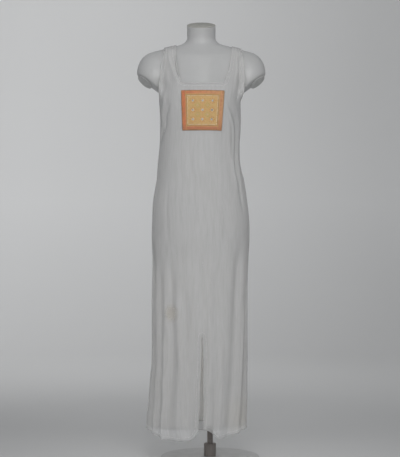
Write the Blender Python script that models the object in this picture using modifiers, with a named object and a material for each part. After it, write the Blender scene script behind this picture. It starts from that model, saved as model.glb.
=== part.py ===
# A sleeveless maxi dress on a limbless dress form with a pole and a round base plate.
# Metres, +Z up. The dress faces -Y. X = 0 and Y = 0 are the middle of the form's shoulders.
# The dress is a crinkled sheer layer over a shorter lining. Each layer has a front and a back that meet
# at the side seams and on the shoulders, and the front has a slit from the knee to the hem.

import functools
import math

import bmesh
import bpy
from mathutils import Matrix, Vector
from mathutils.bvhtree import BVHTree

SEAM_GAP = 0.0003
CLOTH_THICKNESS = 0.0011
LINING_THICKNESS = 0.0010
LAYER_GAP = 0.0014
LAYER_GAP_AT_EDGE = 0.0003
BODY_CLEARANCE = 0.0052
SHOULDER_CLEARANCE = 0.0038
INNER_CLEARANCE = 0.0010

# The form, as horizontal sections: front and back are measured from the centre line at y = centre.
FORM_SECTIONS = (
    # height, half width, front, back, centre
    (0.690, 0.140, 0.075, 0.095, 0.000),
    (0.715, 0.149, 0.085, 0.106, 0.000),
    (0.760, 0.157, 0.092, 0.114, 0.000),
    (0.800, 0.159, 0.095, 0.117, 0.000),
    (0.840, 0.156, 0.095, 0.115, 0.000),
    (0.880, 0.148, 0.094, 0.106, 0.000),
    (0.920, 0.137, 0.091, 0.093, 0.000),
    (0.960, 0.126, 0.087, 0.082, 0.000),
    (1.000, 0.119, 0.083, 0.075, 0.000),
    (1.040, 0.116, 0.083, 0.072, 0.000),
    (1.080, 0.118, 0.088, 0.074, 0.000),
    (1.120, 0.123, 0.098, 0.079, 0.000),
    (1.160, 0.128, 0.109, 0.085, 0.000),
    (1.200, 0.130, 0.115, 0.090, 0.000),
    (1.235, 0.128, 0.112, 0.093, 0.000),
    (1.270, 0.128, 0.103, 0.095, 0.000),
    (1.300, 0.138, 0.093, 0.094, 0.000),
    (1.340, 0.152, 0.081, 0.089, 0.001),
    (1.380, 0.163, 0.070, 0.080, 0.002),
    (1.405, 0.172, 0.062, 0.071, 0.003),
    (1.420, 0.165, 0.055, 0.062, 0.004),
    (1.4335, 0.124, 0.050, 0.056, 0.006),
    (1.4475, 0.071, 0.047, 0.053, 0.008),
    (1.462, 0.052, 0.048, 0.050, 0.008),
    (1.480, 0.050, 0.048, 0.049, 0.003),
    (1.520, 0.050, 0.049, 0.049, -0.011),
)
FORM_RINGS = (
    0.690, 0.705, 0.735, 0.775, 0.815, 0.860, 0.905, 0.950, 0.995, 1.040, 1.085, 1.130, 1.170, 1.205, 1.240,
    1.265, 1.279, 1.287, 1.295, 1.304, 1.314, 1.326, 1.339, 1.356, 1.375, 1.392, 1.406, 1.417, 1.426, 1.434,
    1.441, 1.449, 1.457, 1.468, 1.490, 1.512,
)
FORM_COLUMNS = 32
RAY_STEP = 0.00002
LONGEST_RAY = 0.26
HALVINGS = 26
PUSH_ROUNDS = 6
NECK_TILT = 0.36        # slope of the neck's top, lower at the front
NECK_TILT_START = 1.455
BUST_HEIGHT = 1.205
BUST_SPREAD = 0.068
BUST_DEPTH = 0.009
BUST_WIDTH = 0.036
BUST_TALLNESS = 0.045
SHOULDER_CENTRE = Vector((0.165, 0.006, 1.345))
SHOULDER_RADII = Vector((0.060, 0.052, 0.075))
SHOULDER_BLEND = 0.014
ARM_CUT_POINT = Vector((0.162, 0.0, 1.290))
ARM_CUT_NORMAL = Vector((0.606, -0.250, -0.755)).normalized()
ARM_CAP_CENTRE = Vector((0.1960, 0.006, 1.3173))
ARM_CAP_RADII = (0.0295, 0.0330)
CAP_THICKNESS = 0.002
NECK_CAP_INSET = 0.0012

# The dress hangs from the bust and the hips. Left and right are its outline from the front.
DRESS_SECTIONS = (
    # height, left, right, front, back
    (0.070, -0.1920, 0.1600, 0.127, 0.125),
    (0.145, -0.1910, 0.1600, 0.126, 0.124),
    (0.200, -0.1853, 0.1619, 0.124, 0.123),
    (0.270, -0.1804, 0.1619, 0.122, 0.122),
    (0.340, -0.1740, 0.1626, 0.120, 0.122),
    (0.550, -0.1734, 0.1626, 0.117, 0.124),
    (0.690, -0.1710, 0.1650, 0.115, 0.128),
    (0.760, -0.1734, 0.1689, 0.114, 0.130),
    (0.830, -0.1724, 0.1682, 0.113, 0.128),
    (0.900, -0.1689, 0.1610, 0.112, 0.119),
    (0.970, -0.1575, 0.1505, 0.112, 0.107),
    (1.005, -0.1545, 0.1415, 0.113, 0.102),
    (1.040, -0.1514, 0.1360, 0.115, 0.099),
    (1.095, -0.1461, 0.1345, 0.118, 0.098),
    (1.140, -0.1444, 0.1374, 0.122, 0.099),
    (1.180, -0.1444, 0.1391, 0.126, 0.100),
    (1.215, -0.1455, 0.1385, 0.1275, 0.101),
    (1.240, -0.1475, 0.1375, 0.1230, 0.102),
    (1.262, -0.1480, 0.1365, 0.1150, 0.102),
)

# Folds are soft troughs (depth above 0) and ridges.
# Place runs from -1 at the left seam to 1 at the right seam.
FRONT_FOLDS = (
    # top, place at top, foot, place at foot, depth, width
    (0.78, -0.86, 0.05, -0.72, 0.0065, 0.070),
    (0.72, -0.62, 0.05, -0.56, 0.0065, 0.065),
    (0.74, -0.41, 0.05, -0.37, 0.0090, 0.070),
    (0.66, -0.23, 0.05, -0.08, 0.0065, 0.065),
    (0.76, 0.12, 0.05, 0.14, -0.0045, 0.060),
    (0.80, 0.60, 0.05, 0.43, 0.0100, 0.080),
    (0.70, 0.90, 0.05, 0.70, 0.0065, 0.065),
    (1.23, 0.56, 0.88, 0.76, 0.0045, 0.045),
    (1.23, 0.44, 0.92, 0.62, -0.0035, 0.050),
    (1.23, -0.50, 1.08, -0.62, 0.0035, 0.045),
    (1.12, -0.16, 0.90, -0.10, 0.0025, 0.060),
)
BACK_FOLDS = (
    # top, place at top, foot, place at foot, depth, width
    (0.76, -0.82, 0.05, -0.68, 0.0065, 0.055),
    (0.70, -0.52, 0.05, -0.42, 0.0085, 0.065),
    (0.64, -0.20, 0.05, -0.14, 0.0070, 0.060),
    (0.68, 0.14, 0.05, 0.18, 0.0085, 0.065),
    (0.72, 0.44, 0.05, 0.50, 0.0070, 0.060),
    (0.76, 0.84, 0.05, 0.72, 0.0065, 0.070),
    (1.20, -0.30, 0.90, -0.18, 0.0030, 0.060),
    (1.22, 0.40, 0.92, 0.26, 0.0035, 0.060),
)

FOLD_FADE = 0.22        # share of a fold's height over which it starts or ends
SHORT_FOLD_FOOT = 0.20  # folds that end above this height fade out at the foot too
SEAM_FADE = 0.10

# Hem heights of the front by x: it rises at the side seams and arches up round the slit.
FRONT_HEM = (
    (-0.190, 0.107), (-0.172, 0.096), (-0.150, 0.088), (-0.131, 0.079), (-0.045, 0.080), (-0.028, 0.087),
    (-0.014, 0.107), (0.000, 0.117), (0.018, 0.118), (0.038, 0.106), (0.053, 0.090), (0.077, 0.087),
    (0.132, 0.101), (0.160, 0.110),
)
BACK_HEM = ((-0.190, 0.107), (-0.150, 0.090), (-0.060, 0.080), (0.070, 0.081), (0.130, 0.096), (0.160, 0.110))
FRONT_LINING_HEM = (
    (-0.190, 0.116), (-0.130, 0.118), (-0.060, 0.124), (0.000, 0.128), (0.060, 0.126), (0.160, 0.123),
)
BACK_LINING_HEM = ((-0.190, 0.116), (-0.100, 0.112), (0.100, 0.113), (0.160, 0.123))

BODY_ROWS = (0.160, 0.245, 0.335, 0.436, 0.540, 0.640, 0.730, 0.800, 0.860, 0.915, 0.970, 1.030, 1.085, 1.135,
             1.175, 1.210, 1.240)
HEM_LEVEL = 0.10
SLIT_TOP = 0.436
# Line of the slit by height, just right of the centre, and of the middle column above it.
SLIT_LINE = ((0.10, 0.054), (0.436, 0.030), (0.90, 0.010))
SLIT_HALF_GAP_TOP = 0.0016
SLIT_HALF_GAP_HEM = 0.0098
SLIT_FLARE = 0.6        # below 1 it opens fast near its top

SIDE_COLUMNS = 4
STRAP_COLUMNS = 5
STRAP_ROWS = 7
SETTLE_ROUNDS = 10
SETTLE_LIMIT = 0.008
SETTLE_SPOTS = (        # shares along two sides of a triangle
    (0.33, 0.33), (0.5, 0.0), (0.0, 0.5), (0.5, 0.5), (0.25, 0.0),
    (0.75, 0.0), (0.0, 0.25), (0.0, 0.75), (0.25, 0.75), (0.75, 0.25),
)
FRONT_NECK_COLUMNS = 12
BACK_NECK_COLUMNS = 8
SLIT_COLUMN = SIDE_COLUMNS + STRAP_COLUMNS + 6
# Place, from -1 to 1, of the columns that run up to the armhole edge and to the neckline's corner.
ARMHOLE_PLACES = (-0.73, 0.75)
CORNER_PLACES = (-0.33, 0.38)

UNDERARM_HEIGHT = 1.262
ARMHOLE_BASE_HEIGHT = 1.298
ARMHOLE_DEPTH = 0.042
ARMHOLE_CURVE = 1.6
SHOULDER_LINE = 0.004
STRAP_PIVOT_HEIGHT = 1.335
FRONT_NECK_HEIGHT = 1.303
FRONT_CORNER_HEIGHT = 1.3115
BACK_NECK_HEIGHT = 1.346
BACK_CORNER_HEIGHT = 1.352
NECK_SQUARENESS = 7
LINING_EASE_ROWS = 3
# Edges of the two front straps, by the share of the way up to the shoulder.
LEFT_STRAP = (
    # share, armhole edge, neck edge
    (0.00, -0.1470, -0.0707),
    (0.20, -0.1430, -0.0800),
    (0.45, -0.1400, -0.0848),
    (0.75, -0.1320, -0.0885),
    (1.00, -0.1268, -0.0890),
)
RIGHT_STRAP = (
    # share, armhole edge, neck edge
    (0.00, 0.1490, 0.0823),
    (0.20, 0.1505, 0.0935),
    (0.45, 0.1490, 0.1005),
    (0.75, 0.1425, 0.1065),
    (1.00, 0.1385, 0.1085),
)

# The patch on the chest, by its corners in x and z, and its raised border.
PATCH_TOP = (1.2758, -0.0690, 0.0795)
PATCH_BOTTOM = (1.1380, -0.0640, 0.0690)
PATCH_GAP = 0.0007
PATCH_THICKNESS = 0.0014
PATCH_BORDER_RISE = 0.0010
PATCH_LINES = (0.0, 0.06, 0.115, 0.14, 0.26, 0.38, 0.50, 0.62, 0.74, 0.86, 0.885, 0.94, 1.0)
PATCH_BORDER = 0.12
PATCH_FIELD = 0.16      # from this share in, its rows follow the panel's

POLE_X = 0.0306
POLE_RADIUS = 0.010
BASE_RADIUS = 0.172
BASE_THICKNESS = 0.008
BASE_EDGE = 0.0025
SOCKET_EDGE = 0.003
SOCKET_RADIUS = 0.021
SOCKET_HEIGHT = 0.045
TURN_STEPS = 32

CLOTH_COLOUR = (0.40, 0.40, 0.40, 1.0)
LINING_COLOUR = (0.42, 0.42, 0.41, 1.0)
FORM_COLOUR = (0.42, 0.42, 0.42, 1.0)
CAP_COLOUR = (0.27, 0.27, 0.25, 1.0)
POLE_COLOUR = (0.035, 0.028, 0.022, 1.0)
BASE_COLOUR = (0.30, 0.30, 0.30, 1.0)
PATCH_COLOUR = (0.60, 0.28, 0.10, 1.0)


def smooth_at(rows, column, key):
    """Value of a table's column at a key, on a smooth curve through its rows."""
    if key <= rows[0][0]:
        return rows[0][column]
    if key >= rows[-1][0]:
        return rows[-1][column]
    index = 0
    while key > rows[index + 1][0]:
        index += 1
    low = rows[index]
    high = rows[index + 1]
    before = rows[max(index - 1, 0)]
    after = rows[min(index + 2, len(rows) - 1)]
    span = high[0] - low[0]
    t = (key - low[0]) / span
    slope_low = (high[column] - before[column]) / (high[0] - before[0]) * span
    slope_high = (after[column] - low[column]) / (after[0] - low[0]) * span
    rise = high[column] - low[column]
    return low[column] + t * slope_low + t * t * (3 * rise - 2 * slope_low - slope_high) \
        + t * t * t * (slope_low + slope_high - 2 * rise)


def mix(start, end, share):
    return start + (end - start) * share


@functools.lru_cache(maxsize=None)
def form_section(height):
    return tuple(smooth_at(FORM_SECTIONS, column, height) for column in (1, 2, 3, 4))


def form_gap(x, y, z):
    """Rough distance of a point from the form's surface, below 0 inside it."""
    half_width, front, back, centre = form_section(round(z, 5))
    dy = y - centre
    depth = front if dy < 0 else back
    reach = math.hypot(x, dy)
    ratio = max(math.hypot(x / half_width, dy / depth), 1e-6)
    trunk = reach - reach / ratio
    if dy < 0:
        across = (abs(x) - BUST_SPREAD) / BUST_WIDTH
        up = (z - BUST_HEIGHT) / BUST_TALLNESS
        trunk -= BUST_DEPTH * math.exp(-across ** 2 - up ** 2)
    offset = Vector((abs(x), y, z)) - SHOULDER_CENTRE
    ratio = max(Vector([offset[k] / SHOULDER_RADII[k] for k in range(3)]).length, 1e-6)
    ball = offset.length * (1 - 1 / ratio)
    cut = (Vector((abs(x), y, z)) - ARM_CUT_POINT).dot(ARM_CUT_NORMAL)
    arm = max(ball, cut)
    overlap = max(SHOULDER_BLEND - abs(trunk - arm), 0.0)
    return min(trunk, arm) - overlap * overlap / (4 * SHOULDER_BLEND)


def form_distance(point):
    """Distance of a point from the form's finished faces, below 0 inside them."""
    distance = form_faces.find_nearest(point)[3]
    outward = Vector((point.x, point.y + 0.0001, 0.0002)).normalized()
    inside = False
    start = point
    while True:
        hit = form_faces.ray_cast(start, outward)[0]
        if hit is None:
            break
        inside = not inside
        start = hit + outward * RAY_STEP
    return -distance if inside else distance


def reach_outside(origin, direction, clearance):
    """The point along a ray from inside the form that lies a clearance off its surface."""
    near = 0.0
    far = LONGEST_RAY
    for _ in range(HALVINGS):
        middle = (near + far) / 2
        if form_distance(origin + direction * middle) < clearance:
            near = middle
        else:
            far = middle
    return origin + direction * far


def push_clear(point, outward, clearance):
    """Moves a point outward until it is a clearance off the form."""
    for _ in range(PUSH_ROUNDS):
        lack = clearance - form_distance(point)
        if lack <= 0:
            break
        point = point + outward * lack
    return point


def dress_ring(side, place, height):
    """Point of the hanging dress before its folds, and its outward direction. Side is -1 in front."""
    left = smooth_at(DRESS_SECTIONS, 1, height)
    right = smooth_at(DRESS_SECTIONS, 2, height)
    depth = smooth_at(DRESS_SECTIONS, 3 if side < 0 else 4, height)
    half_width = (right - left) / 2
    angle = place * math.pi / 2
    x = (left + right) / 2 + half_width * math.sin(angle)
    point = Vector((x, side * depth * math.cos(angle), height))
    outward = Vector((math.sin(angle) / half_width, side * math.cos(angle) / depth, 0.0)).normalized()
    return point, outward


def fold_depth(folds, place, height):
    """How far the folds press the cloth in at a place and height."""
    total = 0.0
    for top, top_place, foot, foot_place, depth, width in folds:
        share = (top - height) / (top - foot)
        if not 0 < share < 1.0:
            continue
        fade = min(share / FOLD_FADE, 1.0)
        if foot > SHORT_FOLD_FOOT:
            fade = min(fade, (1 - share) / FOLD_FADE)
        fade = fade * fade * (3 - 2 * fade)
        centre = mix(top_place, foot_place, share)
        total += depth * fade * math.exp(-((place - centre) / width) ** 2)
    return total


def hanging_point(side, place, height):
    """Point of the outer face of the dress below the chest."""
    point, outward = dress_ring(side, place, height)
    folds = FRONT_FOLDS if side < 0 else BACK_FOLDS
    seam_fade = min((1 - abs(place)) / SEAM_FADE, 1.0)
    point = point - outward * fold_depth(folds, place, height) * seam_fade
    return push_clear(point, outward, BODY_CLEARANCE)


def column_places(neck_columns):
    """Places of a panel's columns, in groups: side, strap, neck, strap and side."""
    stops = (-1.0, ARMHOLE_PLACES[0], CORNER_PLACES[0], CORNER_PLACES[1], ARMHOLE_PLACES[1], 1.0)
    counts = (SIDE_COLUMNS, STRAP_COLUMNS, neck_columns, STRAP_COLUMNS, SIDE_COLUMNS)
    places = [stops[0]]
    for start, end, count in zip(stops, stops[1:], counts):
        places += [mix(start, end, (k + 1) / count) for k in range(count)]
    return places


def slit_places(places, height):
    """Front places with the two middle columns parted at the slit, and the rest spread to either side."""
    share = max((SLIT_TOP - height) / SLIT_TOP, 0.0)
    middle = smooth_at(SLIT_LINE, 1, height)
    half_gap = mix(SLIT_HALF_GAP_TOP, SLIT_HALF_GAP_HEM, share ** SLIT_FLARE)
    half_width = (smooth_at(DRESS_SECTIONS, 2, height) - smooth_at(DRESS_SECTIONS, 1, height)) / 2
    part = half_gap / (half_width * math.pi / 2)
    left_scale = (1 + middle - part) / (1 + places[SLIT_COLUMN])
    right_scale = (1 - middle - part) / (1 - places[SLIT_COLUMN + 1])
    left = [-1 + (1 + place) * left_scale for place in places[:SLIT_COLUMN + 1]]
    right = [1 - (1 - place) * right_scale for place in places[SLIT_COLUMN + 1:]]
    return left + right


def seat_on_chest(side, x, height, clearance):
    """Point straight in front of or behind the form's middle, a clearance off it."""
    origin = Vector((x, form_section(round(height, 5))[3], height))
    return reach_outside(origin, Vector((0.0, side, 0.0)), clearance)


def yoke_row(side, places, neck_columns):
    """Points of the row that ends at the armholes and the neckline and carries the straps."""
    left_armhole = SIDE_COLUMNS
    left_corner = left_armhole + STRAP_COLUMNS
    right_corner = left_corner + neck_columns
    right_armhole = right_corner + STRAP_COLUMNS
    neck_height = FRONT_NECK_HEIGHT if side < 0 else BACK_NECK_HEIGHT
    corner_height = FRONT_CORNER_HEIGHT if side < 0 else BACK_CORNER_HEIGHT
    row = {}
    straps = ((left_armhole, left_corner, LEFT_STRAP), (right_armhole, right_corner, RIGHT_STRAP))
    for armhole, corner, strap in straps:
        for index in range(min(armhole, corner), max(armhole, corner) + 1):
            share = abs(index - armhole) / STRAP_COLUMNS
            x = mix(strap[0][1], strap[0][2], share)
            height = mix(ARMHOLE_BASE_HEIGHT, corner_height, share * share * (3 - 2 * share))
            row[index] = seat_on_chest(side, x, height, BODY_CLEARANCE)
            row[index].y = side * max(abs(row[index].y), ARMHOLE_DEPTH)
    for index in range(left_corner + 1, right_corner):
        share = (places[index] - places[left_corner]) / (places[right_corner] - places[left_corner])
        x = mix(LEFT_STRAP[0][2], RIGHT_STRAP[0][2], share)
        height = mix(neck_height, corner_height, abs(2 * share - 1) ** NECK_SQUARENESS)
        row[index] = seat_on_chest(side, x, height, BODY_CLEARANCE)
    last = len(places) - 1
    for armhole, seam in ((left_armhole, 0), (right_armhole, last)):
        seam_point = dress_ring(side, places[seam], UNDERARM_HEIGHT)[0]
        base = row[armhole]
        for index in range(min(armhole, seam), max(armhole, seam) + 1):
            if index == armhole:
                continue
            turn = abs(index - seam) / SIDE_COLUMNS * math.pi / 2
            x = mix(seam_point.x, base.x, math.sin(turn))
            height = mix(UNDERARM_HEIGHT, ARMHOLE_BASE_HEIGHT, (1 - math.cos(turn)) ** ARMHOLE_CURVE)
            row[index] = Vector((x, base.y * math.sin(turn), height))
    return row


def strap_points(side, yoke, first, last, strap, first_row):
    """Rows of a strap from the yoke over the chest or back to the shoulder line."""
    points = {}
    pivot_y = SHOULDER_LINE
    for index in range(first, last + 1):
        across = (index - first) / (last - first)
        if strap is LEFT_STRAP:
            across = 1 - across
        start = yoke[index]
        start_turn = math.atan2(start.z - STRAP_PIVOT_HEIGHT, abs(start.y - pivot_y))
        for row in range(1, STRAP_ROWS + 1):
            share = row / STRAP_ROWS
            edge = smooth_at(strap, 1, share)
            neck_edge = smooth_at(strap, 2, share)
            x = mix(neck_edge, edge, across)
            turn = mix(start_turn, math.pi / 2, share)
            clearance = mix(BODY_CLEARANCE, SHOULDER_CLEARANCE, min(share * 1.5, 1.0))
            origin = Vector((x, pivot_y, STRAP_PIVOT_HEIGHT))
            direction = Vector((0.0, side * math.cos(turn), math.sin(turn)))
            point = reach_outside(origin, direction, clearance)
            if row == STRAP_ROWS:
                point.y = SHOULDER_LINE + side * SEAM_GAP / 2
            points[(index, first_row + row)] = point
    return points


def cut_shorter(points, last, hem):
    """Grid with its lowest row moved up along the columns to a shorter hem."""
    shorter = dict(points)
    for index in range(last + 1):
        low = points[(index, 0)]
        high = points[(index, 1)]
        height = smooth_at(hem, 1, low.x)
        shorter[(index, 0)] = low.lerp(high, (height - low.z) / (high.z - low.z))
    return shorter


def panel_points(side, hem):
    """Grid of a panel's outer points by column and row, with the rows of its two straps above."""
    neck_columns = FRONT_NECK_COLUMNS if side < 0 else BACK_NECK_COLUMNS
    places = column_places(neck_columns)
    last = len(places) - 1
    yoke = yoke_row(side, places, neck_columns)
    middle_row = len(BODY_ROWS) + 1
    top_row = middle_row + 1
    points = {}
    for row in range(len(BODY_ROWS) + 1):
        level = BODY_ROWS[row - 1] if row else HEM_LEVEL
        row_places = slit_places(places, level) if side < 0 else places
        for index, place in enumerate(row_places):
            height = level
            if row == 0:
                height = smooth_at(hem, 1, dress_ring(side, place, level)[0].x)
            points[(index, row)] = hanging_point(side, place, height)
    for index in range(last + 1):
        points[(index, top_row)] = yoke[index]
        below = points[(index, middle_row - 1)]
        between = (below + yoke[index]) / 2
        outward = Vector((between.x, between.y, 0.0)).normalized()
        points[(index, middle_row)] = push_clear(between, outward, BODY_CLEARANCE)
    corner = SIDE_COLUMNS + STRAP_COLUMNS
    points.update(strap_points(side, yoke, SIDE_COLUMNS, corner, LEFT_STRAP, top_row))
    points.update(strap_points(side, yoke, corner + neck_columns, last - SIDE_COLUMNS, RIGHT_STRAP, top_row))
    for row in range(top_row + 1):
        for index in (0, last):
            points[(index, row)].y = side * SEAM_GAP / 2
    return points, last, top_row


def panel_cells(points, side):
    """Cells with four corners in the grid, without those of the slit."""
    slit_row = BODY_ROWS.index(SLIT_TOP) + 1
    cells = []
    for index, row in points:
        corners = ((index, row), (index + 1, row), (index + 1, row + 1), (index, row + 1))
        if not all(corner in points for corner in corners):
            continue
        if side < 0 and index == SLIT_COLUMN and row < slit_row:
            continue
        cells.append(corners)
    return cells


def two_triangles(corners):
    return corners[:3], (corners[0],) + corners[2:]


def grid_normals(points, cells, side, last, top_row):
    """Outward normals of the grid, level with the seam planes where two panels meet."""
    normals = {key: Vector((0.0, 0.0, 0.0)) for key in points}
    for corners in cells:
        a, b, c, d = (points[key] for key in corners)
        normal = (c - a).cross(d - b) * (-side)
        for key in corners:
            normals[key] += normal
    for key, normal in normals.items():
        if key[0] in (0, last) and key[1] <= top_row or key[1] == top_row + STRAP_ROWS:
            normal.y = 0.0
        normal.normalize()
    return normals


def new_material(name, colour, roughness, metallic=0.0):
    material = bpy.data.materials.new(name)
    material.use_nodes = True
    shader = material.node_tree.nodes["Principled BSDF"]
    shader.inputs["Base Color"].default_value = colour
    shader.inputs["Roughness"].default_value = roughness
    shader.inputs["Metallic"].default_value = metallic
    return material


def add_object(name, mesh, material):
    part = bpy.data.objects.new(name, mesh)
    collection.objects.link(part)
    mesh.materials.append(material)
    return part


def make_wall(name, outer, inner, cells, material):
    """Closed wall between an outer and an inner grid of points, with its rim."""
    mesh = bpy.data.meshes.new(name)
    build = bmesh.new()
    outer_verts = {}
    inner_verts = {}
    edge_count = {}
    for corners in cells:
        for key in corners:
            if key not in outer_verts:
                outer_verts[key] = build.verts.new(outer[key])
                inner_verts[key] = build.verts.new(inner[key])
        for triangle in two_triangles(corners):
            build.faces.new([outer_verts[key] for key in triangle])
            build.faces.new([inner_verts[key] for key in reversed(triangle)])
        for start, end in zip(corners, corners[1:] + corners[:1]):
            edge = frozenset((start, end))
            edge_count[edge] = None if edge in edge_count else (start, end)
    for rim in edge_count.values():
        if rim is not None:
            start, end = rim
            build.faces.new((outer_verts[end], outer_verts[start], inner_verts[start], inner_verts[end]))
    bmesh.ops.recalc_face_normals(build, faces=build.faces)
    build.to_mesh(mesh)
    build.free()
    mesh.shade_smooth()
    mesh.set_sharp_from_angle(angle=math.radians(50))
    return add_object(name, mesh, material)


def move_along(points, normals, amount):
    """Grid moved along its normals by an amount, or by one for each point."""
    if not callable(amount):
        return {key: points[key] + normals[key] * amount for key in points}
    return {key: points[key] + normals[key] * amount(key) for key in points}


def settle(points, cells, side, last, top_row):
    """Moves the grid out where the flat stretch between its points would come too near to the form."""
    stack = CLOTH_THICKNESS + LINING_THICKNESS
    moved = {}
    for _ in range(SETTLE_ROUNDS):
        normals = grid_normals(points, cells, side, last, top_row)
        lift = {}
        for corners in cells:
            gap = LAYER_GAP_AT_EDGE if corners[0][1] >= top_row else LAYER_GAP
            for triangle in two_triangles(corners):
                a, b, c = (points[key] for key in triangle)
                for first, second in SETTLE_SPOTS:
                    spot = a + (b - a) * first + (c - a) * second
                    lack = stack + gap + INNER_CLEARANCE - form_distance(spot)
                    if lack > 0:
                        for key in triangle:
                            lift[key] = max(lift.get(key, 0.0), lack)
        for key, amount in lift.items():
            amount = min(amount, SETTLE_LIMIT - moved.get(key, 0.0))
            moved[key] = moved.get(key, 0.0) + amount
            points[key] = points[key] + normals[key] * amount
    return points


def make_layers(side, outer_name, lining_name, hem, lining_hem):
    """Outer panel and the lining behind it, and the outer panel's grid for what is sewn on it."""
    points, last, top_row = panel_points(side, hem)
    cells = panel_cells(points, side)
    points = settle(points, cells, side, last, top_row)
    normals = grid_normals(points, cells, side, last, top_row)
    make_wall(outer_name, points, move_along(points, normals, -CLOTH_THICKNESS), cells, cloth)

    def lining_depth(key):
        rows_below_edge = top_row - key[1]
        share = min(max(rows_below_edge, 0) / LINING_EASE_ROWS, 1.0)
        return -CLOTH_THICKNESS - mix(LAYER_GAP_AT_EDGE, LAYER_GAP, share)

    lined = cut_shorter(points, last, lining_hem)
    face = move_along(lined, normals, lining_depth)
    back = move_along(face, normals, -LINING_THICKNESS)
    make_wall(lining_name, face, back, cells, lining)
    return points, normals, top_row


def grid_sample(points, normals, top_row, x, z):
    """Point and normal of a panel at x and z on its chest, between the grid's points."""
    middle = SLIT_COLUMN
    row = top_row - 1
    while points[(middle, row)].z > z:
        row -= 1
    up = (z - points[(middle, row)].z) / (points[(middle, row + 1)].z - points[(middle, row)].z)

    def x_at(index):
        return mix(points[(index, row)].x, points[(index, row + 1)].x, up)

    index = SIDE_COLUMNS
    while x_at(index + 1) < x:
        index += 1
    along = (x - x_at(index)) / (x_at(index + 1) - x_at(index))

    def blend(grid):
        lower = grid[(index, row)].lerp(grid[(index + 1, row)], along)
        upper = grid[(index, row + 1)].lerp(grid[(index + 1, row + 1)], along)
        return lower.lerp(upper, up)

    return blend(points), blend(normals).normalized()


def make_patch(points, normals, top_row):
    """Panel sewn on the chest: a thin ground with a raised border."""
    ground = {}
    face = {}
    panel_heights = [points[(SLIT_COLUMN, row)].z for row in range(top_row)]
    panel_lines = [(height - PATCH_BOTTOM[0]) / (PATCH_TOP[0] - PATCH_BOTTOM[0]) for height in panel_heights]
    field_lines = [line for line in panel_lines if PATCH_FIELD < line < 1 - PATCH_FIELD]
    edge_lines = [line for line in PATCH_LINES if not PATCH_FIELD < line < 1 - PATCH_FIELD]
    up_lines = sorted(edge_lines + field_lines)
    for i, across in enumerate(PATCH_LINES):
        for j, up in enumerate(up_lines):
            z = mix(PATCH_BOTTOM[0], PATCH_TOP[0], up)
            left = mix(PATCH_BOTTOM[1], PATCH_TOP[1], up)
            right = mix(PATCH_BOTTOM[2], PATCH_TOP[2], up)
            point, normal = grid_sample(points, normals, top_row, mix(left, right, across), z)
            edge = min(across, up, 1 - across, 1 - up)
            rise = PATCH_BORDER_RISE if 0 < edge < PATCH_BORDER else 0.0
            ground[(i, j)] = point + normal * PATCH_GAP
            face[(i, j)] = ground[(i, j)] + normal * (PATCH_THICKNESS + rise)
    cells = [((i, j), (i + 1, j), (i + 1, j + 1), (i, j + 1))
             for i in range(len(PATCH_LINES) - 1) for j in range(len(up_lines) - 1)]
    make_wall("patch", face, ground, cells, embroidery)


def form_edge(start, direction):
    """The point where a ray from inside leaves the form's smooth shape."""
    near = 0.0
    far = LONGEST_RAY
    for _ in range(HALVINGS):
        middle = (near + far) / 2
        if form_gap(*(start + direction * middle)) < 0:
            near = middle
        else:
            far = middle
    return start + direction * near


def form_ring(height):
    """Points of the form round one height, tilted near the neck's top."""
    tilt = NECK_TILT * min(max((height - NECK_TILT_START) / (FORM_RINGS[-1] - NECK_TILT_START), 0.0), 1.0)
    middle = Vector((0.0, form_section(round(height, 5))[3], height))
    half_width = form_edge(middle, Vector((1.0, 0.0, 0.0))).x
    ring = []
    for column in range(FORM_COLUMNS):
        angle = 2 * math.pi * column / FORM_COLUMNS
        start = middle + Vector((half_width * math.cos(angle), 0.0, 0.0))
        if column % (FORM_COLUMNS // 2):
            side = math.copysign(1.0, math.sin(angle))
            start = form_edge(start, Vector((0.0, side, side * tilt)))
        ring.append(start)
    return ring


def make_form():
    """The limbless form, a loft through its rings, and the plate on its neck. Gives a tree of its faces."""
    rings = [form_ring(height) for height in FORM_RINGS]
    mesh = bpy.data.meshes.new("form_torso")
    build = bmesh.new()
    verts = [[build.verts.new(point) for point in ring] for ring in rings]
    for low, high in zip(verts, verts[1:]):
        for column in range(FORM_COLUMNS):
            after = (column + 1) % FORM_COLUMNS
            build.faces.new((low[column], low[after], high[after]))
            build.faces.new((low[column], high[after], high[column]))
    build.faces.new(list(reversed(verts[0])))
    build.faces.new(verts[-1])
    bmesh.ops.recalc_face_normals(build, faces=build.faces)
    build.to_mesh(mesh)
    build.free()
    mesh.shade_smooth()
    mesh.set_sharp_from_angle(angle=math.radians(40))
    add_object("form_torso", mesh, form_skin)
    faces = [tuple(polygon.vertices) for polygon in mesh.polygons]
    tree = BVHTree.FromPolygons([vertex.co for vertex in mesh.vertices], faces)

    top = rings[-1]
    centre = sum(top, Vector()) / FORM_COLUMNS
    lift = Vector((0.0, -NECK_TILT, 1.0)).normalized()
    shrink = 1 - NECK_CAP_INSET / FORM_SECTIONS[-1][1]
    mesh = bpy.data.meshes.new("neck_cap")
    build = bmesh.new()
    low = [build.verts.new(centre + (point - centre) * shrink + lift * SEAM_GAP) for point in top]
    high = [build.verts.new(vert.co + lift * CAP_THICKNESS) for vert in low]
    for column in range(FORM_COLUMNS):
        after = (column + 1) % FORM_COLUMNS
        build.faces.new((low[column], low[after], high[after], high[column]))
    build.faces.new(list(reversed(low)))
    build.faces.new(high)
    build.to_mesh(mesh)
    build.free()
    add_object("neck_cap", mesh, cap_finish)
    return tree


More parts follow.
